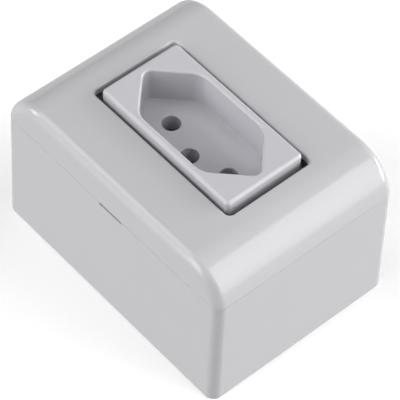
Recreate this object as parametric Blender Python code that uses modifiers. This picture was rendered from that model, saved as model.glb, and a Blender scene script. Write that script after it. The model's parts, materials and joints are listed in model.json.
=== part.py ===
"""Surface mounted socket: a wall box, a clip-on cover and a two pin and earth socket module.

The box lies on its back, so the wall would be at Z = 0 and the socket faces +Z.
+Y runs along the long side, and the origin is the middle of the back face.
All sizes are in metres.
"""

import math

import bmesh
import bpy
from mathutils import Matrix, Vector

# General
GAP = 0.0003
OVERLAP = 0.0003
MERGE = 0.000002
SMOOTH_ANGLE = math.radians(32)

# Box
BOX_WIDTH = 0.0510
BOX_LENGTH = 0.0706
BOX_HEIGHT = 0.0320
BOX_DRAFT = 0.00028
BOX_WALL = 0.0020
CORNER_RADIUS = 0.0024
PRY_SLOT_LENGTH = 0.0074
PRY_SLOT_HEIGHT = 0.0005
BOSS_INSET = 0.00542
BOSS_RADIUS = 0.0035
BOSS_TOP = 0.0300
BOSS_RIB_TOP = 0.0287
BOSS_RIB_WIDTH = 0.0016
PILOT_DEPTH = 0.0150
WALL_SLOT_INSET = 0.0106
WALL_SLOT_LENGTH = 0.0090
WALL_SLOT_WIDTH = 0.0045
KNOCKOUT_WEB = 0.0009
KNOCKOUT_RADIUS = 0.0085
SCORE_WIDTH = 0.0010
SIDE_KNOCKOUT_LENGTH = 0.0180
SIDE_KNOCKOUT_HEIGHT = 0.0120

# Cover
COVER_TOP = 0.0410
COVER_WALL = 0.0020
END_RADIUS = 0.0108
END_STEPS = 13
RIM_TRIM = 0.0010
SKIRT_DEPTH = 0.0030
SKIRT_THICKNESS = 0.0012
SEAT_HEIGHT = 0.0017
OPENING_CHAMFER = 0.0005
OPENING_CORNER = 0.0016

# Snap hooks and the ribs that hold them
HOOK_SPACING = 0.0340
HOOK_WIDTH = 0.0070
HOOK_THICKNESS = 0.0013
HOOK_SETBACK = 0.0007
HOOK_DEPTH = 0.0075
LUG_REACH = 0.0008
LUG_HEIGHT = 0.0015
CATCH_HEIGHT = 0.0012
CATCH_WIDTH = 0.0090
CATCH_GAP = 0.00025

# Socket module outside
MODULE_WIDTH = 0.0215
MODULE_END_MARGIN = 0.0147
MODULE_TOP = 0.0427
MODULE_CORNER = 0.0011
MODULE_EDGE = 0.0009
MODULE_SIDE_GAP = 0.0010
MODULE_END_GAP = 0.0015
MODULE_WALL = 0.0016
MODULE_SPLIT = 0.0240
MODULE_BACK = 0.0110
FLANGE_REACH = 0.0012
FLANGE_THICKNESS = 0.0015
CLIP_WIDTH = 0.0080
CLIP_REACH = 0.0008
CLIP_HEIGHT = 0.0014

# Plug recess and pin holes
LAND_WIDTH = 0.00185
LAND_LENGTH = 0.0015
RECESS_DEPTH = 0.0092
RECESS_SHOULDER = 0.0045
RECESS_TIP = 0.0012
RECESS_RIM = 0.0004
RECESS_WALL = 0.0015
FLOOR_THICKNESS = 0.0018
PIN_SPACING = 0.0190
EARTH_OFFSET = 0.0030
PIN_HOLE_RADIUS = 0.00215
PIN_HOLE_CHAMFER = 0.0004
PIN_COLLAR_RADIUS = 0.0033
PIN_COLLAR_DEPTH = 0.0025
TOP_THICKNESS = 0.0016

# Mounting frame
FRAME_SIDE_ROOM = 0.00422
FRAME_END_ROOM = 0.00072
FRAME_THICKNESS = 0.0020
FRAME_CORNER = 0.0030
FRAME_LIP = 0.0012
FRAME_LIP_DEPTH = 0.0030
COLLAR_THICKNESS = 0.0013
COLLAR_HEIGHT = 0.0017
FRAME_SLOT_TRAVEL = 0.0020

# Contacts
STRIP = 0.0008
CONTACT_WIDTH = 0.0050
CONTACT_HALF_SPREAD = 0.0023
CONTACT_GRIP = 0.0021
CONTACT_MOUTH = 0.0030
CONTACT_TOP_ROOM = 0.0006
CONTACT_MOUTH_DEPTH = 0.0031
CONTACT_GRIP_DEPTH = 0.0035
BODY_FLOOR = 0.0016
PARTITION = 0.0012
PARTITION_OFFSET = 0.0050
PARTITION_TOP = 0.0286
SPRING_THICKNESS = 0.0005
SPRING_HEIGHT = 0.0026
SPRING_MOUTH = 0.0016
SPRING_RISE = 0.0004

# Terminals
TERMINAL_LENGTH = 0.0064
TERMINAL_SIDE_ROOM = 0.00115
TERMINAL_END_ROOM = 0.0004
TERMINAL_SEAT = 0.0012
TERMINAL_WALL = 0.0010
WIRE_ENTRY_RADIUS = 0.0019
WIRE_FUNNEL = 0.0009

# Screws
FRAME_SCREW_SHANK = 0.0014
FRAME_SCREW_LENGTH = 0.0130
FRAME_SCREW_HEAD = 0.0029
FRAME_SCREW_HEAD_HEIGHT = 0.0019
TERMINAL_SCREW_SHANK = 0.0013
TERMINAL_SCREW_HEAD = 0.0022
TERMINAL_SCREW_HEAD_HEIGHT = 0.0019
HOUSING_SCREW_SHANK = 0.0010
HOUSING_SCREW_LENGTH = 0.0190
HOUSING_SCREW_HEAD = 0.0018
HOUSING_SCREW_HEAD_HEIGHT = 0.0014
HOUSING_BOSS_RADIUS = 0.0025
HOUSING_BOSS_BITE = 0.0003
SCREW_POINT = 0.0006
DRIVE_WIDTH = 0.0007
DRIVE_DEPTH = 0.0010

# Worked out from the sizes above
MODULE_LENGTH = BOX_LENGTH - MODULE_END_MARGIN * 2
RECESS_WIDTH = MODULE_WIDTH - LAND_WIDTH * 2
RECESS_LENGTH = MODULE_LENGTH - LAND_LENGTH * 2
RIM_HALF_WIDTH = BOX_WIDTH / 2 - BOX_DRAFT
RIM_HALF_LENGTH = BOX_LENGTH / 2 - BOX_DRAFT
INNER_HALF_WIDTH = RIM_HALF_WIDTH - BOX_WALL
INNER_HALF_LENGTH = RIM_HALF_LENGTH - BOX_WALL
INNER_CORNER = max(CORNER_RADIUS - BOX_WALL, OVERLAP)
BOSS_Y = INNER_HALF_LENGTH - BOSS_INSET
WALL_SLOT_Y = BOSS_Y - WALL_SLOT_INSET
COVER_BASE = BOX_HEIGHT + GAP
SKIRT_HALF_WIDTH = INNER_HALF_WIDTH - GAP
SKIRT_HALF_LENGTH = INNER_HALF_LENGTH - GAP
HOOK_OUTER_X = SKIRT_HALF_WIDTH - HOOK_SETBACK
HOOK_BOTTOM = COVER_BASE - HOOK_DEPTH
CATCH_INNER_X = HOOK_OUTER_X + CATCH_GAP
CATCH_BOTTOM = HOOK_BOTTOM + LUG_HEIGHT + GAP
OPENING_HALF_WIDTH = MODULE_WIDTH / 2 + MODULE_SIDE_GAP
OPENING_HALF_LENGTH = MODULE_LENGTH / 2 + MODULE_END_GAP
MODULE_INNER_HALF_WIDTH = MODULE_WIDTH / 2 - MODULE_WALL
MODULE_INNER_HALF_LENGTH = MODULE_LENGTH / 2 - MODULE_WALL
HOUSING_SCREW_X = MODULE_INNER_HALF_WIDTH - HOUSING_BOSS_RADIUS + HOUSING_BOSS_BITE
HOUSING_SCREW_Y = MODULE_INNER_HALF_LENGTH - HOUSING_BOSS_RADIUS + HOUSING_BOSS_BITE
RECESS_FLOOR = MODULE_TOP - RECESS_DEPTH
FLOOR_UNDERSIDE = RECESS_FLOOR - FLOOR_THICKNESS
PIN_COLLAR_BOTTOM = FLOOR_UNDERSIDE - PIN_COLLAR_DEPTH
FRAME_HALF_WIDTH = SKIRT_HALF_WIDTH - SKIRT_THICKNESS - FRAME_SIDE_ROOM
FRAME_HALF_LENGTH = SKIRT_HALF_LENGTH - SKIRT_THICKNESS - FRAME_END_ROOM
FRAME_BASE = BOSS_TOP + GAP
FRAME_TOP = FRAME_BASE + FRAME_THICKNESS
COLLAR_TOP = FRAME_TOP + COLLAR_HEIGHT
FLANGE_BASE = COLLAR_TOP + GAP
CLIP_TOP = FRAME_BASE - GAP
BODY_TOP = MODULE_SPLIT - GAP
BODY_FLOOR_TOP = MODULE_BACK + BODY_FLOOR
CONTACT_BASE = BODY_FLOOR_TOP + GAP + STRIP / 2
CONTACT_TOP = PIN_COLLAR_BOTTOM - CONTACT_TOP_ROOM
CONTACT_GRIP_HEIGHT = CONTACT_TOP - CONTACT_MOUTH_DEPTH
CONTACT_BEND_HEIGHT = CONTACT_GRIP_HEIGHT - CONTACT_GRIP_DEPTH
SPRING_BASE = CONTACT_BEND_HEIGHT + SPRING_RISE
TERMINAL_BASE = BODY_FLOOR_TOP + TERMINAL_SEAT + GAP
TERMINAL_TOP = SPRING_BASE - GAP
TERMINAL_HEIGHT = TERMINAL_TOP - TERMINAL_BASE
TERMINAL_SCREW_Z = (TERMINAL_BASE + TERMINAL_TOP) / 2
EARTH_X = -EARTH_OFFSET
TERMINAL_Y = MODULE_INNER_HALF_LENGTH - TERMINAL_END_ROOM - TERMINAL_LENGTH / 2
TERMINAL_OUTER_X = MODULE_INNER_HALF_WIDTH - TERMINAL_SIDE_ROOM
CONTACT_SIDE_X = CONTACT_HALF_SPREAD + STRIP / 2 + GAP
WIRE_BORE_X = (CONTACT_SIDE_X + TERMINAL_OUTER_X) / 2
WIRE_BORE_RADIUS = (TERMINAL_OUTER_X - CONTACT_SIDE_X) / 2 - TERMINAL_WALL
TERMINAL_SCREW_LENGTH = TERMINAL_OUTER_X + GAP - WIRE_BORE_X

# Colours, as sRGB hex values
SHELL_GREY = "#C9CACC"
MODULE_GREY = "#C4C6C9"
FRAME_WHITE = "#D8D8D4"
BODY_BLACK = "#2B2C2E"
BRONZE = "#B98A4E"
BRASS = "#C9A85A"
STEEL = "#A8A9AB"
ZINC = "#B7BABD"


def linear(value):
    """Turns one sRGB channel between 0 and 1 into a linear one."""
    if value <= 0.04045:
        return value / 12.92
    return ((value + 0.055) / 1.055) ** 2.4


def finish_material(name, colour, roughness, metallic=0.0):
    """Makes a Principled material from an sRGB hex colour."""
    material = bpy.data.materials.new(name)
    material.use_nodes = True
    shader = material.node_tree.nodes["Principled BSDF"]
    channels = [int(colour[i:i + 2], 16) / 255 for i in (1, 3, 5)]
    shader.inputs["Base Color"].default_value = [linear(c) for c in channels] + [1.0]
    shader.inputs["Roughness"].default_value = roughness
    shader.inputs["Metallic"].default_value = metallic
    return material


def clear_scene():
    """Removes every object and collection of the open file."""
    for obj in list(bpy.data.objects):
        bpy.data.objects.remove(obj, do_unlink=True)
    for collection in list(bpy.data.collections):
        bpy.data.collections.remove(collection)


def new_collection(name):
    collection = bpy.data.collections.new(name)
    bpy.context.scene.collection.children.link(collection)
    return collection


clear_scene()
PARTS = new_collection("surface_mounted_socket")
CUTTERS = new_collection("cutters_and_joiners")


def link_mesh(name, bm, collection):
    mesh = bpy.data.meshes.new(name)
    bm.to_mesh(mesh)
    bm.free()
    obj = bpy.data.objects.new(name, mesh)
    collection.objects.link(obj)
    return obj


def part(name, bm, material, location=(0, 0, 0)):
    """Makes one sub-part from a bmesh, whose origin goes to the location."""
    obj = link_mesh(name, bm, PARTS)
    obj.data.materials.append(material)
    obj.location = location
    return obj


def add_boolean(target, tool, operation):
    tool.hide_render = True
    tool.display_type = "WIRE"
    tool.parent = target
    modifier = target.modifiers.new(tool.name, "BOOLEAN")
    modifier.operation = operation
    modifier.solver = "EXACT"
    modifier.object = tool


def cut(target, name, shape, location=(0, 0, 0)):
    """Cuts a shape, a bmesh in the target's own frame, out of the target."""
    tool = link_mesh(target.name + "_" + name, shape, CUTTERS)
    tool.location = location
    add_boolean(target, tool, "DIFFERENCE")


def join(target, name, shape, location=(0, 0, 0)):
    """Joins a shape, a bmesh in the target's own frame, to the target."""
    tool = link_mesh(target.name + "_" + name, shape, CUTTERS)
    tool.location = location
    add_boolean(target, tool, "UNION")


def block(low, high):
    """A box between two corners."""
    bm = bmesh.new()
    bmesh.ops.create_cube(bm, size=1.0)
    size = Vector(high) - Vector(low)
    middle = (Vector(high) + Vector(low)) / 2
    bmesh.ops.scale(bm, verts=bm.verts, vec=size)
    bmesh.ops.translate(bm, verts=bm.verts, vec=middle)
    return bm


def cylinder(radius, base, top, centre=(0, 0), segments=28):
    """A cylinder along Z."""
    bm = bmesh.new()
    bmesh.ops.create_cone(bm, cap_ends=True, segments=segments, radius1=radius, radius2=radius,
                          depth=top - base)
    bmesh.ops.translate(bm, verts=bm.verts, vec=(centre[0], centre[1], (base + top) / 2))
    return bm


def revolved(profile, centre=(0, 0), segments=28):
    """A solid turned round Z from its half profile, which starts and ends on the axis."""
    bm = bmesh.new()
    points = [bm.verts.new((radius, 0.0, height)) for radius, height in profile]
    edges = [bm.edges.new(pair) for pair in zip(points, points[1:])]
    bmesh.ops.spin(bm, geom=points + edges, cent=(0, 0, 0), axis=(0, 0, 1), angle=math.tau,
                   steps=segments, use_merge=True)
    bmesh.ops.remove_doubles(bm, verts=bm.verts, dist=MERGE)
    bmesh.ops.recalc_face_normals(bm, faces=bm.faces)
    bmesh.ops.translate(bm, verts=bm.verts, vec=(centre[0], centre[1], 0))
    return bm


def along_x(bm):
    """Turns a shape so that its Z runs along X, its X along Y and its Y along Z."""
    turn = Matrix(((0, 0, 1), (1, 0, 0), (0, 1, 0)))
    bmesh.ops.rotate(bm, verts=bm.verts, cent=(0, 0, 0), matrix=turn)
    return bm


def rounded_outline(corners, radii, offset=0.0, steps=5):
    """The points of a closed outline with round corners.

    The corners run anticlockwise. The offset moves the outline outwards and
    widens its radii, so that outlines of one shape have as many points each.
    """
    count = len(corners)
    sides = []
    for i, corner in enumerate(corners):
        start, end = Vector(corner), Vector(corners[(i + 1) % count])
        direction = (end - start).normalized()
        outward = Vector((direction.y, -direction.x))
        sides.append((start + outward * offset, direction, outward))
    points = []
    for i in range(count):
        before, after = sides[i - 1], sides[i]
        turn = before[1].angle_signed(after[1]) * -1
        cross = before[1].cross(after[1])
        reach = (after[0] - before[0]).cross(after[1]) / cross
        corner = before[0] + before[1] * reach
        radius = radii[i] + offset
        run = radius * math.tan(turn / 2)
        centre = corner - before[1] * run - before[2] * radius
        first = math.atan2(before[2].y, before[2].x)
        for step in range(steps + 1):
            angle = first + turn * step / steps
            points.append((centre.x + radius * math.cos(angle), centre.y + radius * math.sin(angle)))
    return points


def rectangle(half_width, half_length, radius, centre=(0, 0), steps=5):
    x, y = centre
    corners = [(x - half_width, y - half_length), (x + half_width, y - half_length),
               (x + half_width, y + half_length), (x - half_width, y + half_length)]
    return rounded_outline(corners, [radius] * 4, 0.0, steps)


def circle(radius, centre=(0, 0), segments=28):
    angles = [math.tau * i / segments for i in range(segments)]
    return [(centre[0] + radius * math.cos(a), centre[1] + radius * math.sin(a)) for a in angles]


def prism(outlines, base, top):
    """A flat outline, with any holes in it, raised from base to top."""
    curve = bpy.data.curves.new("outline", "CURVE")
    curve.dimensions = "2D"
    curve.fill_mode = "BOTH"
    curve.extrude = (top - base) / 2
    for outline in outlines:
        spline = curve.splines.new("POLY")
        spline.points.add(len(outline) - 1)
        for point, (x, y) in zip(spline.points, outline):
            point.co = (x, y, 0.0, 1.0)
        spline.use_cyclic_u = True
    holder = bpy.data.objects.new("outline", curve)
    CUTTERS.objects.link(holder)
    graph = bpy.context.evaluated_depsgraph_get()
    mesh = bpy.data.meshes.new_from_object(holder.evaluated_get(graph))
    bm = bmesh.new()
    bm.from_mesh(mesh)
    bmesh.ops.remove_doubles(bm, verts=bm.verts, dist=MERGE)
    bmesh.ops.dissolve_limit(bm, angle_limit=math.radians(1), verts=bm.verts, edges=bm.edges)
    bmesh.ops.translate(bm, verts=bm.verts, vec=(0, 0, (base + top) / 2))
    bpy.data.objects.remove(holder)
    bpy.data.curves.remove(curve)
    bpy.data.meshes.remove(mesh)
    return bm


def loft(sections):
    """A closed solid through outlines of as many points each, from the lowest up."""
    bm = bmesh.new()
    rings = [[bm.verts.new((x, y, z)) for x, y in outline] for outline, z in sections]
    for lower, upper in zip(rings, rings[1:]):
        for i in range(len(lower)):
            bm.faces.new((lower[i - 1], lower[i], upper[i], upper[i - 1]))
    bm.faces.new(list(reversed(rings[0])))
    bm.faces.new(rings[-1])
    return bm


def mark_edges(bm, chosen):
    """Gives the chosen edges the weight that a Bevel modifier reads."""
    layer = bm.edges.layers.float.new("bevel_weight_edge")
    for edge in bm.edges:
        edge[layer] = 1.0 if chosen(edge) else 0.0


def add_bevel(obj, width, segments):
    modifier = obj.modifiers.new("rounded_edges", "BEVEL")
    modifier.limit_method = "WEIGHT"
    modifier.width = width
    modifier.segments = segments


def add_shell(obj, thickness):
    """Gives an open surface its wall, on the inside."""
    modifier = obj.modifiers.new("wall", "SOLIDIFY")
    modifier.thickness = thickness
    modifier.offset = -1.0
    modifier.use_even_offset = True
    obj.modifiers.new("flat_faces", "TRIANGULATE")


def delete_face(bm, direction):
    """Opens a solid by deleting the flat faces that look in one direction."""
    bm.normal_update()
    faces = [f for f in bm.faces if f.normal.dot(Vector(direction)) > 0.999]
    bmesh.ops.delete(bm, geom=faces, context="FACES_ONLY")


def turned(name, profile, material, segments=24):
    """A round piece from its half profile, listed from the top of the axis down."""
    bm = bmesh.new()
    points = [bm.verts.new((radius, 0.0, height)) for radius, height in profile]
    for upper, lower in zip(points, points[1:]):
        bm.edges.new((upper, lower))
    obj = part(name, bm, material)
    modifier = obj.modifiers.new("turn", "SCREW")
    modifier.steps = segments
    modifier.render_steps = segments
    modifier.use_merge_vertices = True
    modifier.merge_threshold = MERGE
    return obj


def screw(name, shank, length, head, head_height, material, crossed):
    """A pan head screw whose origin is under its head, with its shank along -Z."""
    crown = head_height * 0.45
    profile = [(0.0, head_height), (head * 0.55, head_height), (head * 0.85, head_height - crown * 0.35),
               (head, head_height - crown), (head, 0.0), (shank, 0.0),
               (shank, SCREW_POINT - length), (shank - SCREW_POINT, -length), (0.0, -length)]
    obj = turned(name, profile, material)
    slot_reach = head * 0.68 if crossed else head * 2
    half = DRIVE_WIDTH / 2
    bottom = head_height - DRIVE_DEPTH
    top = head_height + OVERLAP
    cut(obj, "slot", block((-slot_reach, -half, bottom), (slot_reach, half, top)))
    if crossed:
        cut(obj, "cross_slot", block((-half, -slot_reach, bottom), (half, slot_reach, top)))
    return obj


def is_upright(edge):
    """Tells an edge that runs more along Z than across it."""
    run = edge.verts[1].co - edge.verts[0].co
    return abs(run.z) > abs(run.x) + abs(run.y)


def build_box(material):
    """The wall box: a drafted tray with screw bosses, catches, slots and knockouts."""
    half_width, half_length = BOX_WIDTH / 2, BOX_LENGTH / 2
    bm = block((-half_width, -half_length, 0), (half_width, half_length, BOX_HEIGHT))
    for vert in bm.verts:
        if vert.co.z > BOX_HEIGHT / 2:
            vert.co.x -= math.copysign(BOX_DRAFT, vert.co.x)
            vert.co.y -= math.copysign(BOX_DRAFT, vert.co.y)
    uprights = [edge for edge in bm.edges if is_upright(edge)]
    bmesh.ops.bevel(bm, geom=uprights, offset=CORNER_RADIUS, segments=6, profile=0.5, affect="EDGES")
    delete_face(bm, (0, 0, 1))
    box = part("surface_box", bm, material)
    add_shell(box, BOX_WALL)
    floor = BOX_WALL - OVERLAP
    for end in (-1, 1):
        label = "far" if end > 0 else "near"
        y = end * BOSS_Y
        join(box, label + "_boss", cylinder(BOSS_RADIUS, floor, BOSS_TOP, (0, y)))
        low, high = sorted((y, end * (INNER_HALF_LENGTH + OVERLAP)))
        half = BOSS_RIB_WIDTH / 2
        join(box, label + "_boss_rib", block((-half, low, floor), (half, high, BOSS_RIB_TOP)))
        pilot = cylinder(FRAME_SCREW_SHANK + GAP, BOSS_TOP - PILOT_DEPTH, BOSS_TOP + OVERLAP, (0, y))
        cut(box, label + "_pilot_hole", pilot)
        centre = (0, end * WALL_SLOT_Y)
        radius = WALL_SLOT_WIDTH / 2
        slot = rectangle(radius, WALL_SLOT_LENGTH / 2, radius, centre, 8)
        cut(box, label + "_wall_slot", prism([slot], -OVERLAP, BOX_WALL + OVERLAP))
    score = prism([circle(KNOCKOUT_RADIUS), circle(KNOCKOUT_RADIUS - SCORE_WIDTH)],
                  KNOCKOUT_WEB, BOX_WALL + OVERLAP)
    cut(box, "back_knockout", score)
    for side in (-1, 1):
        label = "right" if side > 0 else "left"
        for end in (-1, 1):
            y = end * HOOK_SPACING / 2
            low, high = sorted((side * CATCH_INNER_X, side * (INNER_HALF_WIDTH + 2 * OVERLAP)))
            half = CATCH_WIDTH / 2
            catch = block((low, y - half, CATCH_BOTTOM), (high, y + half, CATCH_BOTTOM + CATCH_HEIGHT))
            join(box, label + ("_far_catch" if end > 0 else "_near_catch"), catch)
        half = PRY_SLOT_LENGTH / 2
        low, high = sorted((side * (INNER_HALF_WIDTH - OVERLAP), side * (BOX_WIDTH / 2 + OVERLAP)))
        slot = block((low, -half, BOX_HEIGHT - PRY_SLOT_HEIGHT), (high, half, BOX_HEIGHT + OVERLAP))
        cut(box, label + "_pry_slot", slot)
        centre = (0, BOX_WALL + SCORE_WIDTH * 2 + SIDE_KNOCKOUT_HEIGHT / 2)
        outer = rectangle(SIDE_KNOCKOUT_LENGTH / 2, SIDE_KNOCKOUT_HEIGHT / 2, SCORE_WIDTH * 2, centre)
        inner = rectangle(SIDE_KNOCKOUT_LENGTH / 2 - SCORE_WIDTH, SIDE_KNOCKOUT_HEIGHT / 2 - SCORE_WIDTH,
                          SCORE_WIDTH, centre)
        low, high = sorted((side * (INNER_HALF_WIDTH - OVERLAP), side * (RIM_HALF_WIDTH - KNOCKOUT_WEB)))
        cut(box, label + "_knockout", along_x(prism([outer, inner], low, high)))
    return box


def end_profile():
    """The cover's lengthwise section: a flat top that rolls over at both ends.

    It runs a little below the rim, which is cut flat once the wall is there.
    """
    centre_z = COVER_TOP - COVER_BASE - END_RADIUS
    centre_y = RIM_HALF_LENGTH - math.sqrt(END_RADIUS ** 2 - min(centre_z, 0.0) ** 2)
    low = max(centre_z, -RIM_TRIM)
    start = math.asin((low - centre_z) / END_RADIUS)
    points = []
    if low > -RIM_TRIM:
        points.append((centre_y + END_RADIUS, -RIM_TRIM))
    for step in range(END_STEPS + 1):
        angle = start + (math.pi / 2 - start) * step / END_STEPS
        points.append((centre_y + END_RADIUS * math.cos(angle), centre_z + END_RADIUS * math.sin(angle)))
    return points + [(-y, z) for y, z in reversed(points)]


def build_cover(material):
    """The clip-on cover: a round-ended shell with a skirt and four hooks inside."""
    bm = along_x(prism([end_profile()], -RIM_HALF_WIDTH, RIM_HALF_WIDTH))
    delete_face(bm, (0, 0, -1))
    bm.normal_update()

    def borders_side(edge):
        sides = [abs(face.normal.x) > 0.999 for face in edge.link_faces]
        return len(sides) == 2 and sides[0] != sides[1]

    mark_edges(bm, borders_side)
    cover = part("cover", bm, material, (0, 0, COVER_BASE))
    add_bevel(cover, CORNER_RADIUS, 6)
    add_shell(cover, COVER_WALL)
    top = COVER_TOP - COVER_BASE
    below = block((-BOX_WIDTH, -BOX_LENGTH, -RIM_TRIM - COVER_WALL), (BOX_WIDTH, BOX_LENGTH, 0))
    cut(cover, "flat_rim", below)
    opening = rectangle(OPENING_HALF_WIDTH, OPENING_HALF_LENGTH, OPENING_CORNER, (0, 0), 6)
    cut(cover, "opening", prism([opening], top - COVER_WALL * 2, top + OVERLAP))
    corners = [(-OPENING_HALF_WIDTH, -OPENING_HALF_LENGTH), (OPENING_HALF_WIDTH, -OPENING_HALF_LENGTH),
               (OPENING_HALF_WIDTH, OPENING_HALF_LENGTH), (-OPENING_HALF_WIDTH, OPENING_HALF_LENGTH)]
    radii = [OPENING_CORNER] * 4
    rim = loft([(rounded_outline(corners, radii, 0.0, 6), top - OPENING_CHAMFER),
                (rounded_outline(corners, radii, OPENING_CHAMFER * 2, 6), top + OPENING_CHAMFER)])
    cut(cover, "opening_chamfer", rim)
    skirt_inner = rectangle(SKIRT_HALF_WIDTH - SKIRT_THICKNESS, SKIRT_HALF_LENGTH - SKIRT_THICKNESS,
                            OVERLAP, (0, 0), 2)
    wall_inner_x = RIM_HALF_WIDTH - COVER_WALL
    wall_inner_y = RIM_HALF_LENGTH - COVER_WALL
    seat_outer = rectangle(wall_inner_x + OVERLAP, wall_inner_y + OVERLAP, INNER_CORNER + OVERLAP)
    join(cover, "seat", prism([seat_outer, skirt_inner], OVERLAP, OVERLAP + SEAT_HEIGHT))
    skirt_outer = rectangle(SKIRT_HALF_WIDTH, SKIRT_HALF_LENGTH, INNER_CORNER + OVERLAP)
    join(cover, "skirt", prism([skirt_outer, skirt_inner], -SKIRT_DEPTH, SEAT_HEIGHT))
    for side in (-1, 1):
        for end in (-1, 1):
            label = ("right" if side > 0 else "left") + ("_far" if end > 0 else "_near")
            half = HOOK_WIDTH / 2
            y = end * HOOK_SPACING / 2
            inner, outer = HOOK_OUTER_X - HOOK_THICKNESS, HOOK_OUTER_X
            reach = outer + LUG_REACH
            outline = [(inner, -HOOK_DEPTH), (outer, -HOOK_DEPTH), (reach, -HOOK_DEPTH + LUG_HEIGHT * 0.6),
                       (reach, -HOOK_DEPTH + LUG_HEIGHT), (outer, -HOOK_DEPTH + LUG_HEIGHT),
                       (outer, SEAT_HEIGHT - OVERLAP), (inner, SEAT_HEIGHT - OVERLAP)]
            hook = prism([[(x * side, z) for x, z in outline]], -half, half)
            stand_up = Matrix(((1, 0, 0), (0, 0, -1), (0, 1, 0)))
            bmesh.ops.rotate(hook, verts=hook.verts, cent=(0, 0, 0), matrix=stand_up)
            join(cover, label + "_hook", hook, (0, y, 0))
    return cover


def build_frame(material):
    """The mounting frame that carries the module and is screwed to the box."""
    half_width, half_length = MODULE_WIDTH / 2 + GAP, MODULE_LENGTH / 2 + GAP
    outer = rectangle(FRAME_HALF_WIDTH, FRAME_HALF_LENGTH, FRAME_CORNER)
    window = rectangle(half_width, half_length, MODULE_CORNER + GAP)
    hole = FRAME_SCREW_SHANK + GAP
    slots = [rectangle(hole + FRAME_SLOT_TRAVEL / 2, hole, hole, (0, end * BOSS_Y), 7)
             for end in (-1, 1)]
    plate = prism([outer, window] + slots, 0, FRAME_THICKNESS)
    frame = part("mounting_frame", plate, material, (0, 0, FRAME_BASE))
    collar = rectangle(half_width + COLLAR_THICKNESS, half_length + COLLAR_THICKNESS, MODULE_CORNER + GAP)
    rise = prism([collar, window], FRAME_THICKNESS - OVERLAP, FRAME_THICKNESS + COLLAR_HEIGHT)
    join(frame, "collar", rise)
    for side in (-1, 1):
        low, high = sorted((side * (FRAME_HALF_WIDTH - FRAME_LIP), side * FRAME_HALF_WIDTH))
        reach = FRAME_HALF_LENGTH - FRAME_CORNER
        lip = block((low, -reach, -FRAME_LIP_DEPTH), (high, reach, OVERLAP))
        join(frame, "right_lip" if side > 0 else "left_lip", lip)
    return frame


def recess_outline(offset=0.0):
    """The plug recess: an elongated hexagon with square tips."""
    half_width, half_length = RECESS_WIDTH / 2, RECESS_LENGTH / 2
    shoulder = half_length - half_width
    corners = [(0, -half_length), (half_width, -shoulder), (half_width, shoulder),
               (0, half_length), (-half_width, shoulder), (-half_width, -shoulder)]
    radii = [RECESS_TIP] + [RECESS_SHOULDER] * 2 + [RECESS_TIP] + [RECESS_SHOULDER] * 2
    return rounded_outline(corners, radii, offset)


def pin_places():
    return {"live": (0.0, PIN_SPACING / 2), "neutral": (0.0, -PIN_SPACING / 2), "earth": (EARTH_X, 0.0)}


def corner_hollow(side, end):
    """The triangle between the recess wall and a corner of the module, hollow from below."""
    x, y = MODULE_INNER_HALF_WIDTH - OVERLAP, MODULE_INNER_HALF_LENGTH - OVERLAP
    reach = RECESS_LENGTH / 2 + RECESS_WALL * math.sqrt(2)
    corners = [(x * side, y * end), ((reach - y) * side, y * end), (x * side, (reach - x) * end)]
    if side * end < 0:
        corners.reverse()
    return rounded_outline(corners, [OVERLAP] * 3, 0.0, 2)


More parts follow.
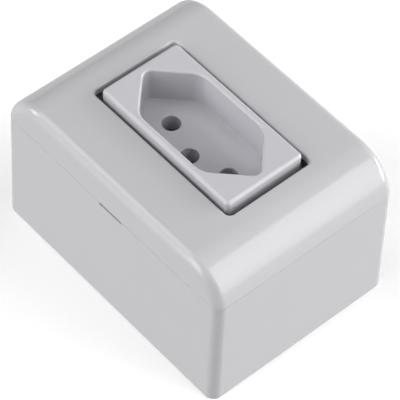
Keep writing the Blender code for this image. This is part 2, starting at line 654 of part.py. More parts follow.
def build_face(material):
    """The module's front: a block with the plug recess, hollow from below."""
    outline = rectangle(MODULE_WIDTH / 2, MODULE_LENGTH / 2, MODULE_CORNER)
    bm = prism([outline], MODULE_SPLIT, MODULE_TOP)
    mark_edges(bm, lambda edge: min(v.co.z for v in edge.verts) > MODULE_TOP - MERGE)
    face = part("socket_face", bm, material)
    add_bevel(face, MODULE_EDGE, 5)
    reach = FLANGE_REACH
    flange = rectangle(MODULE_WIDTH / 2 + reach, MODULE_LENGTH / 2 + reach, MODULE_CORNER + reach)
    join(face, "flange", prism([flange], FLANGE_BASE, FLANGE_BASE + FLANGE_THICKNESS))
    for end in (-1, 1):
        wall, tip = MODULE_LENGTH / 2 - OVERLAP, MODULE_LENGTH / 2 + CLIP_REACH
        profile = [(end * wall, 0.0), (end * tip, 0.0), (end * wall, -CLIP_HEIGHT)]
        wedge = along_x(prism([profile], -CLIP_WIDTH / 2, CLIP_WIDTH / 2))
        join(face, "far_clip" if end > 0 else "near_clip", wedge, (0, 0, CLIP_TOP))
    cavity = rectangle(MODULE_INNER_HALF_WIDTH, MODULE_INNER_HALF_LENGTH, MODULE_CORNER / 2)
    cut(face, "cavity", prism([cavity], MODULE_SPLIT - OVERLAP, FLOOR_UNDERSIDE))
    for side in (-1, 1):
        for end in (-1, 1):
            label = ("right" if side > 0 else "left") + ("_far" if end > 0 else "_near")
            hollow = prism([corner_hollow(side, end)], FLOOR_UNDERSIDE - OVERLAP, MODULE_TOP - TOP_THICKNESS)
            cut(face, label + "_hollow", hollow)
    sections = [(recess_outline(), RECESS_FLOOR), (recess_outline(), MODULE_TOP - RECESS_RIM)]
    for step in range(1, 5):
        angle = math.pi / 2 * step / 4
        rise = MODULE_TOP - RECESS_RIM * (1 - math.sin(angle))
        sections.append((recess_outline(RECESS_RIM * (1 - math.cos(angle))), rise))
    sections.append((recess_outline(RECESS_RIM), MODULE_TOP + OVERLAP))
    cut(face, "plug_recess", loft(sections))
    for end in (-1, 1):
        label = "far" if end > 0 else "near"
        place = (-HOUSING_SCREW_X, end * HOUSING_SCREW_Y)
        ceiling = MODULE_TOP - TOP_THICKNESS
        join(face, label + "_housing_boss",
             cylinder(HOUSING_BOSS_RADIUS, MODULE_SPLIT + GAP, ceiling + OVERLAP, place))
        tip = MODULE_BACK + HOUSING_SCREW_HEAD_HEIGHT + HOUSING_SCREW_LENGTH + 2 * GAP
        cut(face, label + "_housing_pilot",
            cylinder(HOUSING_SCREW_SHANK + GAP, MODULE_SPLIT - OVERLAP, tip + GAP, place))
    for name, place in pin_places().items():
        join(face, name + "_collar",
             cylinder(PIN_COLLAR_RADIUS, PIN_COLLAR_BOTTOM, FLOOR_UNDERSIDE + OVERLAP, place))
        flare = PIN_HOLE_CHAMFER
        profile = [(0.0, MODULE_SPLIT), (PIN_HOLE_RADIUS, MODULE_SPLIT),
                   (PIN_HOLE_RADIUS, RECESS_FLOOR - flare),
                   (PIN_HOLE_RADIUS + flare * 2, RECESS_FLOOR + flare), (0.0, RECESS_FLOOR + flare)]
        cut(face, name + "_pin_hole", revolved(profile, place))
    return face


def terminal_places():
    return {"live": TERMINAL_Y, "neutral": -TERMINAL_Y, "earth": 0.0}


def build_body(material):
    """The module's back half: a tray with a chamber for each pole."""
    outline = rectangle(MODULE_WIDTH / 2, MODULE_LENGTH / 2, MODULE_CORNER)
    bm = prism([outline], MODULE_BACK, BODY_TOP)
    body = part("socket_body", bm, material)
    chamber = rectangle(MODULE_INNER_HALF_WIDTH, MODULE_INNER_HALF_LENGTH, MODULE_CORNER / 2)
    cut(body, "chamber", prism([chamber], BODY_FLOOR_TOP, BODY_TOP + OVERLAP))
    for end in (-1, 1):
        label = "far" if end > 0 else "near"
        low, high = sorted((end * PARTITION_OFFSET - PARTITION / 2, end * PARTITION_OFFSET + PARTITION / 2))
        reach = MODULE_INNER_HALF_WIDTH + OVERLAP
        join(body, label + "_partition_foot",
             block((-reach, low, BODY_FLOOR_TOP - OVERLAP), (reach, high, BODY_TOP - OVERLAP)))
        reach = MODULE_INNER_HALF_WIDTH - GAP
        join(body, label + "_partition",
             block((-reach, low, BODY_FLOOR_TOP), (reach, high, PARTITION_TOP)))
        place = (-HOUSING_SCREW_X, end * HOUSING_SCREW_Y)
        join(body, label + "_sleeve",
             cylinder(HOUSING_BOSS_RADIUS, MODULE_BACK + OVERLAP, BODY_TOP - OVERLAP, place))
        cut(body, label + "_sleeve_hole",
            cylinder(HOUSING_SCREW_SHANK + GAP, MODULE_BACK - OVERLAP, BODY_TOP + OVERLAP, place))
        cut(body, label + "_sleeve_sink",
            cylinder(HOUSING_SCREW_HEAD + GAP, MODULE_BACK - OVERLAP,
                     MODULE_BACK + HOUSING_SCREW_HEAD_HEIGHT + GAP, place))
    for name, y in terminal_places().items():
        half = TERMINAL_LENGTH / 2
        low = (terminal_inner_x(name) + GAP, y - half, BODY_FLOOR_TOP - OVERLAP)
        high = (TERMINAL_OUTER_X, y + half, BODY_FLOOR_TOP + TERMINAL_SEAT)
        join(body, name + "_terminal_seat", block(low, high))
        place = (WIRE_BORE_X, y)
        flare = WIRE_FUNNEL
        top = BODY_FLOOR_TOP + TERMINAL_SEAT + OVERLAP
        profile = [(0.0, MODULE_BACK - flare), (WIRE_ENTRY_RADIUS + flare * 2, MODULE_BACK - flare),
                   (WIRE_ENTRY_RADIUS, MODULE_BACK + flare), (WIRE_ENTRY_RADIUS, top), (0.0, top)]
        cut(body, name + "_wire_entry", revolved(profile, place))
        access = cylinder(TERMINAL_SCREW_HEAD + GAP, MODULE_INNER_HALF_WIDTH - GAP,
                          MODULE_WIDTH / 2 + OVERLAP, (y, TERMINAL_SCREW_Z))
        cut(body, name + "_screw_access", along_x(access))
    return body


def strip_path():
    """The section of a contact: a U of strip whose leaves close on the pin and flare at the mouth."""
    half = [(CONTACT_HALF_SPREAD, CONTACT_BASE), (CONTACT_HALF_SPREAD, CONTACT_BEND_HEIGHT),
            (CONTACT_GRIP, CONTACT_GRIP_HEIGHT), (CONTACT_MOUTH, CONTACT_TOP)]
    return [(-x, z) for x, z in reversed(half)] + half


def build_contact(name, material, place, tab_end):
    """One pole's contact; its tab runs along the inner side of the terminal block."""
    bm = bmesh.new()
    half = CONTACT_WIDTH / 2
    points = [bm.verts.new((x, -half, z)) for x, z in strip_path()]
    edges = [bm.edges.new(pair) for pair in zip(points, points[1:])]
    sheet = bmesh.ops.extrude_edge_only(bm, edges=edges)["geom"]
    moved = [item for item in sheet if isinstance(item, bmesh.types.BMVert)]
    bmesh.ops.translate(bm, verts=moved, vec=(0, CONTACT_WIDTH, 0))
    reach = tab_end - place[1]
    side = math.copysign(half, reach)
    if abs(reach) > half:
        foot = [edge for edge in bm.edges
                if all(abs(v.co.y - side) < MERGE and v.co.x > CONTACT_HALF_SPREAD - MERGE
                       and v.co.z < CONTACT_BEND_HEIGHT + MERGE for v in edge.verts)]
        tab = bmesh.ops.extrude_edge_only(bm, edges=foot)["geom"]
        moved = [item for item in tab if isinstance(item, bmesh.types.BMVert)]
        bmesh.ops.translate(bm, verts=moved, vec=(0, reach - side, 0))
    bmesh.ops.recalc_face_normals(bm, faces=bm.faces)
    contact = part(name, bm, material, (place[0], place[1], 0))
    modifier = contact.modifiers.new("strip", "SOLIDIFY")
    modifier.thickness = STRIP
    modifier.offset = 0.0
    modifier.use_even_offset = True
    return contact


def build_spring(name, material, place):
    """The steel clip round a contact's leaves, open in the middle of one side."""
    x = CONTACT_SIDE_X
    y = CONTACT_WIDTH / 2 + GAP
    wall = SPRING_THICKNESS
    mouth = SPRING_MOUTH / 2
    outline = [(mouth, -y - wall), (x + wall, -y - wall), (x + wall, y + wall), (-x - wall, y + wall),
               (-x - wall, -y - wall), (-mouth, -y - wall), (-mouth, -y), (-x, -y), (-x, y), (x, y),
               (x, -y), (mouth, -y)]
    bm = prism([outline], 0, SPRING_HEIGHT)
    return part(name, bm, material, (place[0], place[1], SPRING_BASE))


def terminal_inner_x(name):
    """Where a terminal block starts, just off its contact's leaf or tab."""
    return pin_places()[name][0] + CONTACT_SIDE_X


def build_terminal(name, material, inner_x, y):
    """A brass block with an upright wire bore and a cross hole for its screw."""
    half = TERMINAL_LENGTH / 2
    bm = block((inner_x, -half, 0), (TERMINAL_OUTER_X, half, TERMINAL_HEIGHT))
    terminal = part(name, bm, material, (0, y, TERMINAL_BASE))
    cut(terminal, "wire_bore",
        cylinder(WIRE_BORE_RADIUS, -OVERLAP, TERMINAL_HEIGHT + OVERLAP, (WIRE_BORE_X, 0), 20))
    thread = cylinder(TERMINAL_SCREW_SHANK + GAP, WIRE_BORE_X, TERMINAL_OUTER_X + OVERLAP,
                      (0, TERMINAL_HEIGHT / 2), 20)
    cut(terminal, "screw_hole", along_x(thread))
    return terminal


def build_screws(steel, zinc):
    """The frame screws, the housing screws and the terminal screws."""
    for end in (-1, 1):
        label = "far" if end > 0 else "near"
        top_screw = screw(label + "_frame_screw", FRAME_SCREW_SHANK, FRAME_SCREW_LENGTH, FRAME_SCREW_HEAD,
                          FRAME_SCREW_HEAD_HEIGHT, zinc, True)
        top_screw.location = (0, end * BOSS_Y, FRAME_TOP + GAP)
        back_screw = screw(label + "_housing_screw", HOUSING_SCREW_SHANK, HOUSING_SCREW_LENGTH,
                           HOUSING_SCREW_HEAD, HOUSING_SCREW_HEAD_HEIGHT, zinc, True)
        seat = MODULE_BACK + HOUSING_SCREW_HEAD_HEIGHT
        back_screw.location = (-HOUSING_SCREW_X, end * HOUSING_SCREW_Y, seat)
        back_screw.rotation_euler = (math.pi, 0, 0)
    for name, y in terminal_places().items():
        side_screw = screw(name + "_terminal_screw", TERMINAL_SCREW_SHANK, TERMINAL_SCREW_LENGTH,
                           TERMINAL_SCREW_HEAD, TERMINAL_SCREW_HEAD_HEIGHT, steel, False)
        side_screw.location = (TERMINAL_OUTER_X + GAP, y, TERMINAL_SCREW_Z)
        side_screw.rotation_euler = (0, math.pi / 2, 0)


def group_under(name, location, children):
    """Parents pieces that move as one to an empty on the way they move."""
    empty = bpy.data.objects.new(name, None)
    empty.location = location
    PARTS.objects.link(empty)
    for child in children:
        child.parent = empty
        child.matrix_parent_inverse = Matrix.Translation(-Vector(location))


def keep_shapes():
    """Gives each sub-part its finished mesh, with its round faces shaded smooth."""
    graph = bpy.context.evaluated_depsgraph_get()
    meshes = {}
    for obj in PARTS.objects:
        if obj.type == "MESH":
            meshes[obj] = bpy.data.meshes.new_from_object(obj.evaluated_get(graph))
    for obj, mesh in meshes.items():
        obj.modifiers.clear()
        mesh.name = obj.name
        obj.data = mesh
        mesh.shade_smooth()
        mesh.set_sharp_from_angle(angle=SMOOTH_ANGLE)


def main():
    shell = finish_material("moulded_shell_plastic", SHELL_GREY, 0.3)
    cover_finish = finish_material("moulded_cover_plastic", SHELL_GREY, 0.28)
    module_finish = finish_material("moulded_module_plastic", MODULE_GREY, 0.22)
    frame_finish = finish_material("frame_nylon", FRAME_WHITE, 0.45)
    body_finish = finish_material("body_thermoset", BODY_BLACK, 0.5)
    bronze = finish_material("contact_bronze", BRONZE, 0.3, 1.0)
    brass = finish_material("terminal_brass", BRASS, 0.35, 1.0)
    steel = finish_material("screw_steel", STEEL, 0.35, 1.0)
    zinc = finish_material("zinc_plated_steel", ZINC, 0.3, 1.0)
    build_box(shell)
    cover = build_cover(cover_finish)
    build_frame(frame_finish)
    build_face(module_finish)
    build_body(body_finish)
    for name, place in pin_places().items():
        y = terminal_places()[name]
        tab_end = y + math.copysign(TERMINAL_LENGTH / 2, y) if y else 0.0
        build_contact(name + "_contact", bronze, place, tab_end)
        build_spring(name + "_contact_spring", steel, place)
        build_terminal(name + "_terminal", brass, terminal_inner_x(name), y)
    build_screws(steel, zinc)
    fixed = [obj for obj in PARTS.objects if obj is not cover]
    group_under("fixed_body", (0, 0, 0), fixed)
    group_under("cover_lift", (0, 0, COVER_BASE), [cover])
    keep_shapes()


main()
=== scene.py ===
"""Looks of a surface mounted socket: wall box, clip-on cover, mounting frame and outlet module.

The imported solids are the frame. The mouldings that show are modelled again here with
fine edges, the screws get threads and drives, and the other hidden pieces are softened
copies. Each new piece stands in the place of its solid.
Lengths are in metres, +Z points out of the wall and +Y runs along the long side.
"""

import json
import logging
import math
from collections.abc import Callable, Iterable
from dataclasses import dataclass, field
from enum import Enum

import bmesh
import bpy
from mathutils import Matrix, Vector

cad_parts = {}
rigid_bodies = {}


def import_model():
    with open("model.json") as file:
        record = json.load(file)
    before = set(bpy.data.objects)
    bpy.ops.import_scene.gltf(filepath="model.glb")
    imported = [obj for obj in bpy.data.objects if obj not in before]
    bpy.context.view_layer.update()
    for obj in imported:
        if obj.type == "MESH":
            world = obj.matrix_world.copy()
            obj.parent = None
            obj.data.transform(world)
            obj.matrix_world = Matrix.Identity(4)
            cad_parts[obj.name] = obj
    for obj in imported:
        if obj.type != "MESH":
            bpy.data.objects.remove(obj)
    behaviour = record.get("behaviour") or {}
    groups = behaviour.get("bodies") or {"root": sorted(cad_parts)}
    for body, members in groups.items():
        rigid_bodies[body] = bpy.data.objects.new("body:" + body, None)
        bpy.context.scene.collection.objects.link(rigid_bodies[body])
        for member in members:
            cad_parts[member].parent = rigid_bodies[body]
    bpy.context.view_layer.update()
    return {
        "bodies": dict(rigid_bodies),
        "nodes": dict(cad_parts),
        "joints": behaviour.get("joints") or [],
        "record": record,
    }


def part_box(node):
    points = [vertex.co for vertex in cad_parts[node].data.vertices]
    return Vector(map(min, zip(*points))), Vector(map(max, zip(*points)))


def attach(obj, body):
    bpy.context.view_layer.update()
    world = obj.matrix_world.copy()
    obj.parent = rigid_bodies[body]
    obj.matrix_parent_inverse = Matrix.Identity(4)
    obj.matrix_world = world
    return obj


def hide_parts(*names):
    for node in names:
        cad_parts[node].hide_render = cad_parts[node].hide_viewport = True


LOG = logging.getLogger("surface_mounted_socket")
MM = 0.001
# How deep shapes reach into each other where they are joined or cut
BITE = 0.3 * MM
# Places nearer to each other than this are the same
TOUCH = 0.001 * MM
# How far a corner may lie from the level, and from the outline, that it belongs to
LEVEL_SLACK = 5 * TOUCH
OUTLINE_SLACK = 9 * TOUCH
# The least share of a face's normal along the way that it faces
FACING = 0.99
# A Mix node's sockets for colours, by number because their names repeat
MIX_FACTOR, MIX_FIRST, MIX_SECOND, MIX_RESULT = 0, 6, 7, 2
POLES = ("live", "neutral", "earth")
ENDS = {"far": 1, "near": -1}
# The long walls at +X and at -X
SIDES = (1, -1)

EdgeTest = Callable[[Vector, Vector], bool]
Socket = bpy.types.NodeSocket


class Pole(Enum):
    """The three pin holes, each with its place relative to the middle of the recess."""

    LIVE = (0.0, 9.5 * MM)
    NEUTRAL = (0.0, -9.5 * MM)
    EARTH = (-3.0 * MM, 0.0)


class Drive(Enum):
    """What a screwdriver turns a screw by."""

    CROSS = "cross"
    SLOT = "slot"


class Way(Enum):
    """Where a screw's head points, as the axis and the degrees of its turn from upright."""

    OUT = ("X", 0.0)
    BACK = ("X", 180.0)
    ASIDE = ("Y", -90.0)


class Pick(Enum):
    """What edit mode selects."""

    CORNERS = "VERT"
    EDGES = "EDGE"
    FACES = "FACE"


class Body(Enum):
    """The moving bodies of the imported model."""

    BOX = "box"
    COVER = "cover_body"


def linear_colour(hex_colour: str) -> tuple[float, float, float, float]:
    """Turns an sRGB hex colour into linear red, green, blue and alpha.

    Args:
        hex_colour: Six hex digits after a hash sign.

    Returns:
        The linear colour with an alpha of one.
    """
    channels = []
    for start in (1, 3, 5):
        value = int(hex_colour[start:start + 2], 16) / 255
        channels.append(value / 12.92 if value <= 0.04045 else ((value + 0.055) / 1.055) ** 2.4)
    return (channels[0], channels[1], channels[2], 1.0)


def deselect_all() -> None:
    if bpy.context.mode != "OBJECT":
        bpy.ops.object.mode_set(mode="OBJECT")
    bpy.ops.object.select_all(action="DESELECT")


@dataclass
class Workpiece:
    """One mesh on the bench, shaped with the editing operators."""

    obj: bpy.types.Object

    @classmethod
    def block(cls, name: str, low: Iterable[float], high: Iterable[float]) -> "Workpiece":
        """Adds a cube primitive between two corners.

        Args:
            name: The object's name.
            low: The lowest corner.
            high: The highest corner.

        Returns:
            The new workpiece.
        """
        deselect_all()
        low, high = Vector(low), Vector(high)
        bpy.ops.mesh.primitive_cube_add(size=1.0, location=(low + high) / 2, scale=high - low)
        return cls._taken(name)

    @classmethod
    def rod(cls, name: str, radius: float, base: float, top: float,
            centre: tuple[float, float] = (0.0, 0.0), sides: int = 64) -> "Workpiece":
        """Adds an upright cylinder primitive.

        Args:
            name: The object's name.
            radius: Its radius.
            base: The height of its lower end.
            top: The height of its upper end.
            centre: Where its axis stands.
            sides: How many faces go round it.

        Returns:
            The new workpiece.
        """
        deselect_all()
        bpy.ops.mesh.primitive_cylinder_add(vertices=sides, radius=radius, depth=top - base,
                                            location=(centre[0], centre[1], (base + top) / 2))
        return cls._taken(name)

    @classmethod
    def copy_of(cls, source: bpy.types.Object, name: str) -> "Workpiece":
        """Copies an object together with its mesh.

        Args:
            source: The object.
            name: The copy's name.

        Returns:
            The copy.
        """
        deselect_all()
        obj = bpy.data.objects.new(name, source.data.copy())
        obj.data.name = name
        bpy.context.scene.collection.objects.link(obj)
        return cls(obj)

    @classmethod
    def _taken(cls, name: str) -> "Workpiece":
        """Takes up the primitive that was just added and moves its place into its mesh.

        Args:
            name: The object's name.

        Returns:
            The new workpiece.
        """
        obj = bpy.context.active_object
        obj.name = name
        obj.data.name = name
        bpy.ops.object.transform_apply(location=True, rotation=True, scale=True)
        return cls(obj)

    def activate(self) -> None:
        """Makes this the only selected object and the active one."""
        deselect_all()
        self.obj.select_set(True)
        bpy.context.view_layer.objects.active = self.obj

    def edit(self, kind: Pick) -> None:
        """Enters edit mode with everything selected.

        Args:
            kind: What edit mode selects from then on.
        """
        self.activate()
        bpy.ops.object.mode_set(mode="EDIT")
        bpy.ops.mesh.select_mode(type=kind.value)
        bpy.ops.mesh.select_all(action="SELECT")

    def _pick(self, kind: Pick, test: Callable[[object], bool]) -> int:
        """Selects the edges or the faces that pass a test, in edit mode.

        Args:
            kind: Edges or faces.
            test: Takes one of them.

        Returns:
            How many were selected.
        """
        self.edit(kind)
        bpy.ops.mesh.select_all(action="DESELECT")
        bm = bmesh.from_edit_mesh(self.obj.data)
        picked = [part for part in (bm.edges if kind is Pick.EDGES else bm.faces) if test(part)]
        for part in picked:
            part.select_set(True)
        bmesh.update_edit_mesh(self.obj.data)
        return len(picked)

    def pick_edges(self, test: EdgeTest) -> int:
        """Selects the edges whose two ends pass a test, and counts them."""
        return self._pick(Pick.EDGES, lambda edge: test(edge.verts[0].co, edge.verts[1].co))

    def pick_faces(self, way: tuple[float, float, float]) -> int:
        """Selects the faces that face one way, and counts them."""
        return self._pick(Pick.FACES, lambda face: face.normal.dot(Vector(way)) > FACING)

    def round_edges(self, width: float, segments: int, test: EdgeTest) -> None:
        """Rounds the edges that pass a test.

        Args:
            width: The bevel's width, which is the radius on a square edge.
            segments: How many faces make the round.
            test: Takes the places of an edge's ends.
        """
        if not self.pick_edges(test):
            raise ValueError(f"{self.obj.name} has no edge to round at this place")
        bpy.ops.mesh.bevel(offset=width, segments=segments, profile=0.5, affect="EDGES", clamp_overlap=True)
        deselect_all()

    def open_at(self, way: tuple[float, float, float]) -> None:
        """Deletes the faces that face one way.

        Args:
            way: The direction.
        """
        self.pick_faces(way)
        bpy.ops.mesh.delete(type="FACE")
        deselect_all()

    def move(self, way: tuple[float, float, float]) -> None:
        """Moves the whole mesh.

        Args:
            way: How far, along each axis.
        """
        self.edit(Pick.CORNERS)
        bpy.ops.transform.translate(value=way)
        deselect_all()

    def modify(self, kind: str, **settings: object) -> None:
        """Adds a modifier, sets it and applies it.

        Args:
            kind: The modifier's type.
            **settings: Its properties.
        """
        self.activate()
        modifier = self.obj.modifiers.new(kind.lower(), kind)
        for key, value in settings.items():
            setattr(modifier, key, value)
        bpy.ops.object.modifier_apply(modifier=modifier.name)

    def shell(self, wall: float) -> None:
        """Gives the open surface a wall on the inside."""
        self.modify("SOLIDIFY", thickness=wall, offset=-1.0, use_even_offset=True)
        self.modify("TRIANGULATE")

    def _combine(self, tool: "Workpiece", operation: str) -> None:
        """Applies a Boolean with another workpiece and uses that one up."""
        self.modify("BOOLEAN", object=tool.obj, operation=operation, solver="EXACT")
        bpy.data.objects.remove(tool.obj, do_unlink=True)

    def cut(self, tool: "Workpiece") -> None:
        """Cuts another workpiece out of this one."""
        self._combine(tool, "DIFFERENCE")

    def join(self, tool: "Workpiece") -> None:
        """Joins another workpiece to this one."""
        self._combine(tool, "UNION")

    def flatten(self, angle: float = 0.2) -> None:
        """Joins the flat triangles that Booleans leave into whole faces.

        Args:
            angle: The most that joined faces may differ in direction, in degrees.
        """
        self.edit(Pick.FACES)
        bpy.ops.mesh.remove_doubles(threshold=TOUCH)
        bpy.ops.mesh.dissolve_limited(angle_limit=math.radians(angle))
        deselect_all()

    def dress(self, material: bpy.types.Material, angle: float = 35.0) -> bpy.types.Object:
        """Shades rounds smooth, keeps sharp edges and flat faces, and adds the one material.

        Args:
            material: The piece's material.
            angle: The least angle of a sharp edge, in degrees.

        Returns:
            The finished object.
        """
        self.activate()
        bpy.ops.object.shade_smooth_by_angle(angle=math.radians(angle))
        self.modify("WEIGHTED_NORMAL", mode="FACE_AREA", weight=50, keep_sharp=True)
        self.obj.data.materials.clear()
        self.obj.data.materials.append(material)
        return self.obj


def upright(a: Vector, b: Vector) -> bool:
    """Tells an edge that runs along Z."""
    return abs(a.x - b.x) + abs(a.y - b.y) < abs(a.z - b.z) * 0.1


def crosswise(a: Vector, b: Vector) -> bool:
    """Tells an edge that runs along X."""
    return abs(a.x - b.x) > MM


def level(height: float) -> EdgeTest:
    """Makes a test for edges that lie at one height."""
    return lambda a, b: abs(a.z - height) < LEVEL_SLACK and abs(b.z - height) < LEVEL_SLACK


def beyond(x: float, y: float) -> EdgeTest:
    """Makes a test for edges that reach farther out than x to the sides or y to the ends."""
    return lambda a, b: max(abs(a.x), abs(b.x)) > x or max(abs(a.y), abs(b.y)) > y


def mirrored(side: int, inner: float, outer: float) -> tuple[float, float]:
    """Gives the lower and the upper end of a reach on the plus or the minus side."""
    return (inner, outer) if side > 0 else (-outer, -inner)


def rounded_block(name: str, half_x: float, half_y: float, base: float, top: float, radius: float,
                  segments: int = 8, centre: tuple[float, float] = (0.0, 0.0)) -> Workpiece:
    """Makes an upright block with round vertical corners.

    Args:
        name: The object's name.
        half_x: Half its width.
        half_y: Half its length.
        base: Its lower height.
        top: Its upper height.
        radius: The radius of its upright corners.
        segments: How many faces make a corner.
        centre: Where its middle stands.

    Returns:
        The new workpiece.
    """
    x, y = centre
    piece = Workpiece.block(name, (x - half_x, y - half_y, base), (x + half_x, y + half_y, top))
    piece.round_edges(radius, segments, upright)
    return piece


def frame_around(name: str, outer: tuple[float, float, float], inner: tuple[float, float, float],
                 base: float, top: float) -> Workpiece:
    """Makes an upright ring with a rounded rectangular outside and inside.

    Args:
        name: The object's name.
        outer: Half width, half length and corner radius of the outside.
        inner: The same of the inside.
        base: The ring's lower height.
        top: The ring's upper height.

    Returns:
        The new workpiece.
    """
    ring = rounded_block(name, outer[0], outer[1], base, top, outer[2])
    ring.cut(rounded_block(name + "_inside", inner[0], inner[1], base - MM, top + MM, inner[2]))
    return ring


@dataclass(frozen=True)
class Tree:
    """The node tree of a material or of the world, built step by step."""

    tree: bpy.types.NodeTree

    @classmethod
    def emptied(cls, owner: bpy.types.Material | bpy.types.World) -> "Tree":
        """Gives a material or the world an empty node tree.

        Args:
            owner: What the tree belongs to.

        Returns:
            The empty tree.
        """
        owner.use_nodes = True
        owner.node_tree.nodes.clear()
        return cls(owner.node_tree)

    def node(self, kind: str, settings: dict | None = None, links: dict | None = None) -> bpy.types.Node:
        """Adds a node with its settings and its links.

        Args:
            kind: The node's type name.
            settings: Values for its inputs, by name or number, or its properties, by name.
            links: Output sockets that feed its inputs, by the input's name or number.

        Returns:
            The new node.
        """
        node = self.tree.nodes.new(kind)
        for key, value in (settings or {}).items():
            if isinstance(key, int) or key in node.inputs:
                node.inputs[key].default_value = value
            else:
                setattr(node, key, value)
        for key, socket in (links or {}).items():
            self.tree.links.new(socket, node.inputs[key])
        return node

    def noise(self, place: Socket, size_mm: float, detail: float) -> Socket:
        """Adds a noise pattern and gives its value."""
        return self.node("ShaderNodeTexNoise", {"Scale": 1 / (size_mm * MM), "Detail": detail},
                         {"Vector": place}).outputs["Fac"]

    def mapped(self, value: Socket, **ends: float) -> Socket:
        """Maps a value to another range, whose ends are given as from_min and so on."""
        settings = {key.replace("_", " ").title(): end for key, end in ends.items()}
        return self.node("ShaderNodeMapRange", settings, {"Value": value}).outputs["Result"]

    def mixed(self, share: Socket, first: Iterable[float], second: Iterable[float]) -> Socket:
        """Mixes two colours and gives the result."""
        return self.node("ShaderNodeMix", {"data_type": "RGBA", MIX_FIRST: first, MIX_SECOND: second},
                         {MIX_FACTOR: share}).outputs[MIX_RESULT]

    def surface(self, settings: dict, colour: Socket, gloss: Socket,
                relief: tuple[Socket, float, float]) -> None:
        """Ends a material with its shader.

        Args:
            settings: The shader's constant inputs.
            colour: What feeds its colour.
            gloss: What feeds its roughness.
            relief: The pattern, the strength and the depth in millimetres of its relief.
        """
        pattern, strength, depth_mm = relief
        bump = self.node("ShaderNodeBump", {"Strength": strength, "Distance": depth_mm * MM},
                         {"Height": pattern})
        shader = self.node("ShaderNodeBsdfPrincipled", settings,
                           {"Base Color": colour, "Roughness": gloss, "Normal": bump.outputs["Normal"]})
        self.node("ShaderNodeOutputMaterial", links={"Surface": shader.outputs["BSDF"]})


@dataclass(frozen=True)
class MouldedPlastic:
    """Injection-moulded plastic: an even body colour under a smooth, slightly rippled skin.

    The ripple is the faint orange peel of a polished mould, and the cloud is the
    slight change of gloss and tint where the melt cooled against it.
    """

    name: str
    colour: str
    roughness: float
    ior: float = 1.53
    ripple_mm: float = 1.1
    ripple_depth_mm: float = 0.0006
    cloud_mm: float = 9.0
    cloud_share: float = 0.12
    tint_share: float = 0.012

    def _tinted(self, share: float) -> list[float]:
        """Gives the body colour, lighter or darker by a share of itself."""
        return [channel * (1 + share) for channel in linear_colour(self.colour)[:3]] + [1.0]

    def build(self) -> bpy.types.Material:
        """Builds the material.

        Returns:
            The new material.
        """
        material = bpy.data.materials.new(self.name)
        tree = Tree.emptied(material)
        place = tree.node("ShaderNodeTexCoord").outputs["Object"]
        cloud = tree.noise(place, self.cloud_mm, 3.0)
        gloss = tree.mapped(cloud, to_min=self.roughness * (1 - self.cloud_share),
                            to_max=self.roughness * (1 + self.cloud_share))
        tint = tree.mixed(cloud, self._tinted(-self.tint_share), self._tinted(self.tint_share))
        ripple = tree.noise(place, self.ripple_mm, 2.0)
        tree.surface({"IOR": self.ior}, tint, gloss, (ripple, 1.0, self.ripple_depth_mm))
        return material


@dataclass(frozen=True)
class WorkedMetal:
    """Strip, sawn or plated metal: fine lines of working in one direction and slight tarnish.

    The stretch draws the lines out along one axis. The tarnish lies only where the
    stain pattern is high, and even there the metal shows through.
    """

    name: str
    colour: str
    tarnish: str
    roughness: float
    line_mm: float = 0.25
    line_depth_mm: float = 0.002
    stain_mm: float = 3.0
    stretch: tuple[float, float, float] = (1.0, 1.0, 0.08)

    def build(self) -> bpy.types.Material:
        """Builds the material.

        Returns:
            The new material.
        """
        material = bpy.data.materials.new(self.name)
        tree = Tree.emptied(material)
        place = tree.node("ShaderNodeTexCoord").outputs["Object"]
        drawn = tree.node("ShaderNodeMapping", {"Scale": self.stretch}, {"Vector": place})
        lines = tree.noise(drawn.outputs["Vector"], self.line_mm, 4.0)
        stain = tree.noise(place, self.stain_mm, 4.0)
        tint = tree.mixed(tree.mapped(stain, from_min=0.45, from_max=0.75, to_max=0.6),
                          linear_colour(self.colour), linear_colour(self.tarnish))
        gloss = tree.mapped(lines, to_min=self.roughness * 0.8, to_max=self.roughness * 1.25)
        tree.surface({"Metallic": 1.0}, tint, gloss, (lines, 0.6, self.line_depth_mm))
        return material


@dataclass(frozen=True)
class Finishes:
    """Every finish of the socket, built once."""

    shell: bpy.types.Material
    module: bpy.types.Material
    nylon: bpy.types.Material
    thermoset: bpy.types.Material
    bronze: bpy.types.Material
    brass: bpy.types.Material
    spring: bpy.types.Material
    zinc: bpy.types.Material

    @classmethod
    def mixed(cls) -> "Finishes":
        """Builds the finishes from what each piece is made of.

        Returns:
            All of them.
        """
        return cls(
            # High-gloss grey ABS from a polished mould: crisp reflections over an even grey
            shell=MouldedPlastic("glossy_grey_moulded_abs", "#B4B3B6", 0.17).build(),
            # The module is the same kind of plastic, a little cooler in colour
            module=MouldedPlastic("glossy_cool_grey_moulded_abs", "#B6B6BB", 0.19).build(),
            # Frame of glass-filled nylon: duller, with a coarser skin
            nylon=MouldedPlastic("off_white_moulded_nylon", "#C9C9C4", 0.42, ripple_mm=0.5,
                                 ripple_depth_mm=0.003).build(),
            # Heat-proof thermoset body: dark and satin
            thermoset=MouldedPlastic("black_moulded_thermoset", "#26272A", 0.38, ripple_mm=0.6,
                                     ripple_depth_mm=0.003).build(),
            # Pressed phosphor bronze strip: warm, drawn along its length
            bronze=WorkedMetal("pressed_phosphor_bronze_strip", "#C8955A", "#8A5F38", 0.28).build(),
            # Sawn and drilled brass block
            brass=WorkedMetal("sawn_brass", "#D6B56A", "#9C7C3C", 0.32, stretch=(0.1, 1.0, 1.0)).build(),
            # Bright spring steel strip
            spring=WorkedMetal("bright_spring_steel_strip", "#B4B5B8", "#7F8085", 0.3).build(),
            # Zinc plated steel of the screws, faintly blue
            zinc=WorkedMetal("zinc_plated_steel", "#C3C6CB", "#8F9298", 0.27).build(),
        )


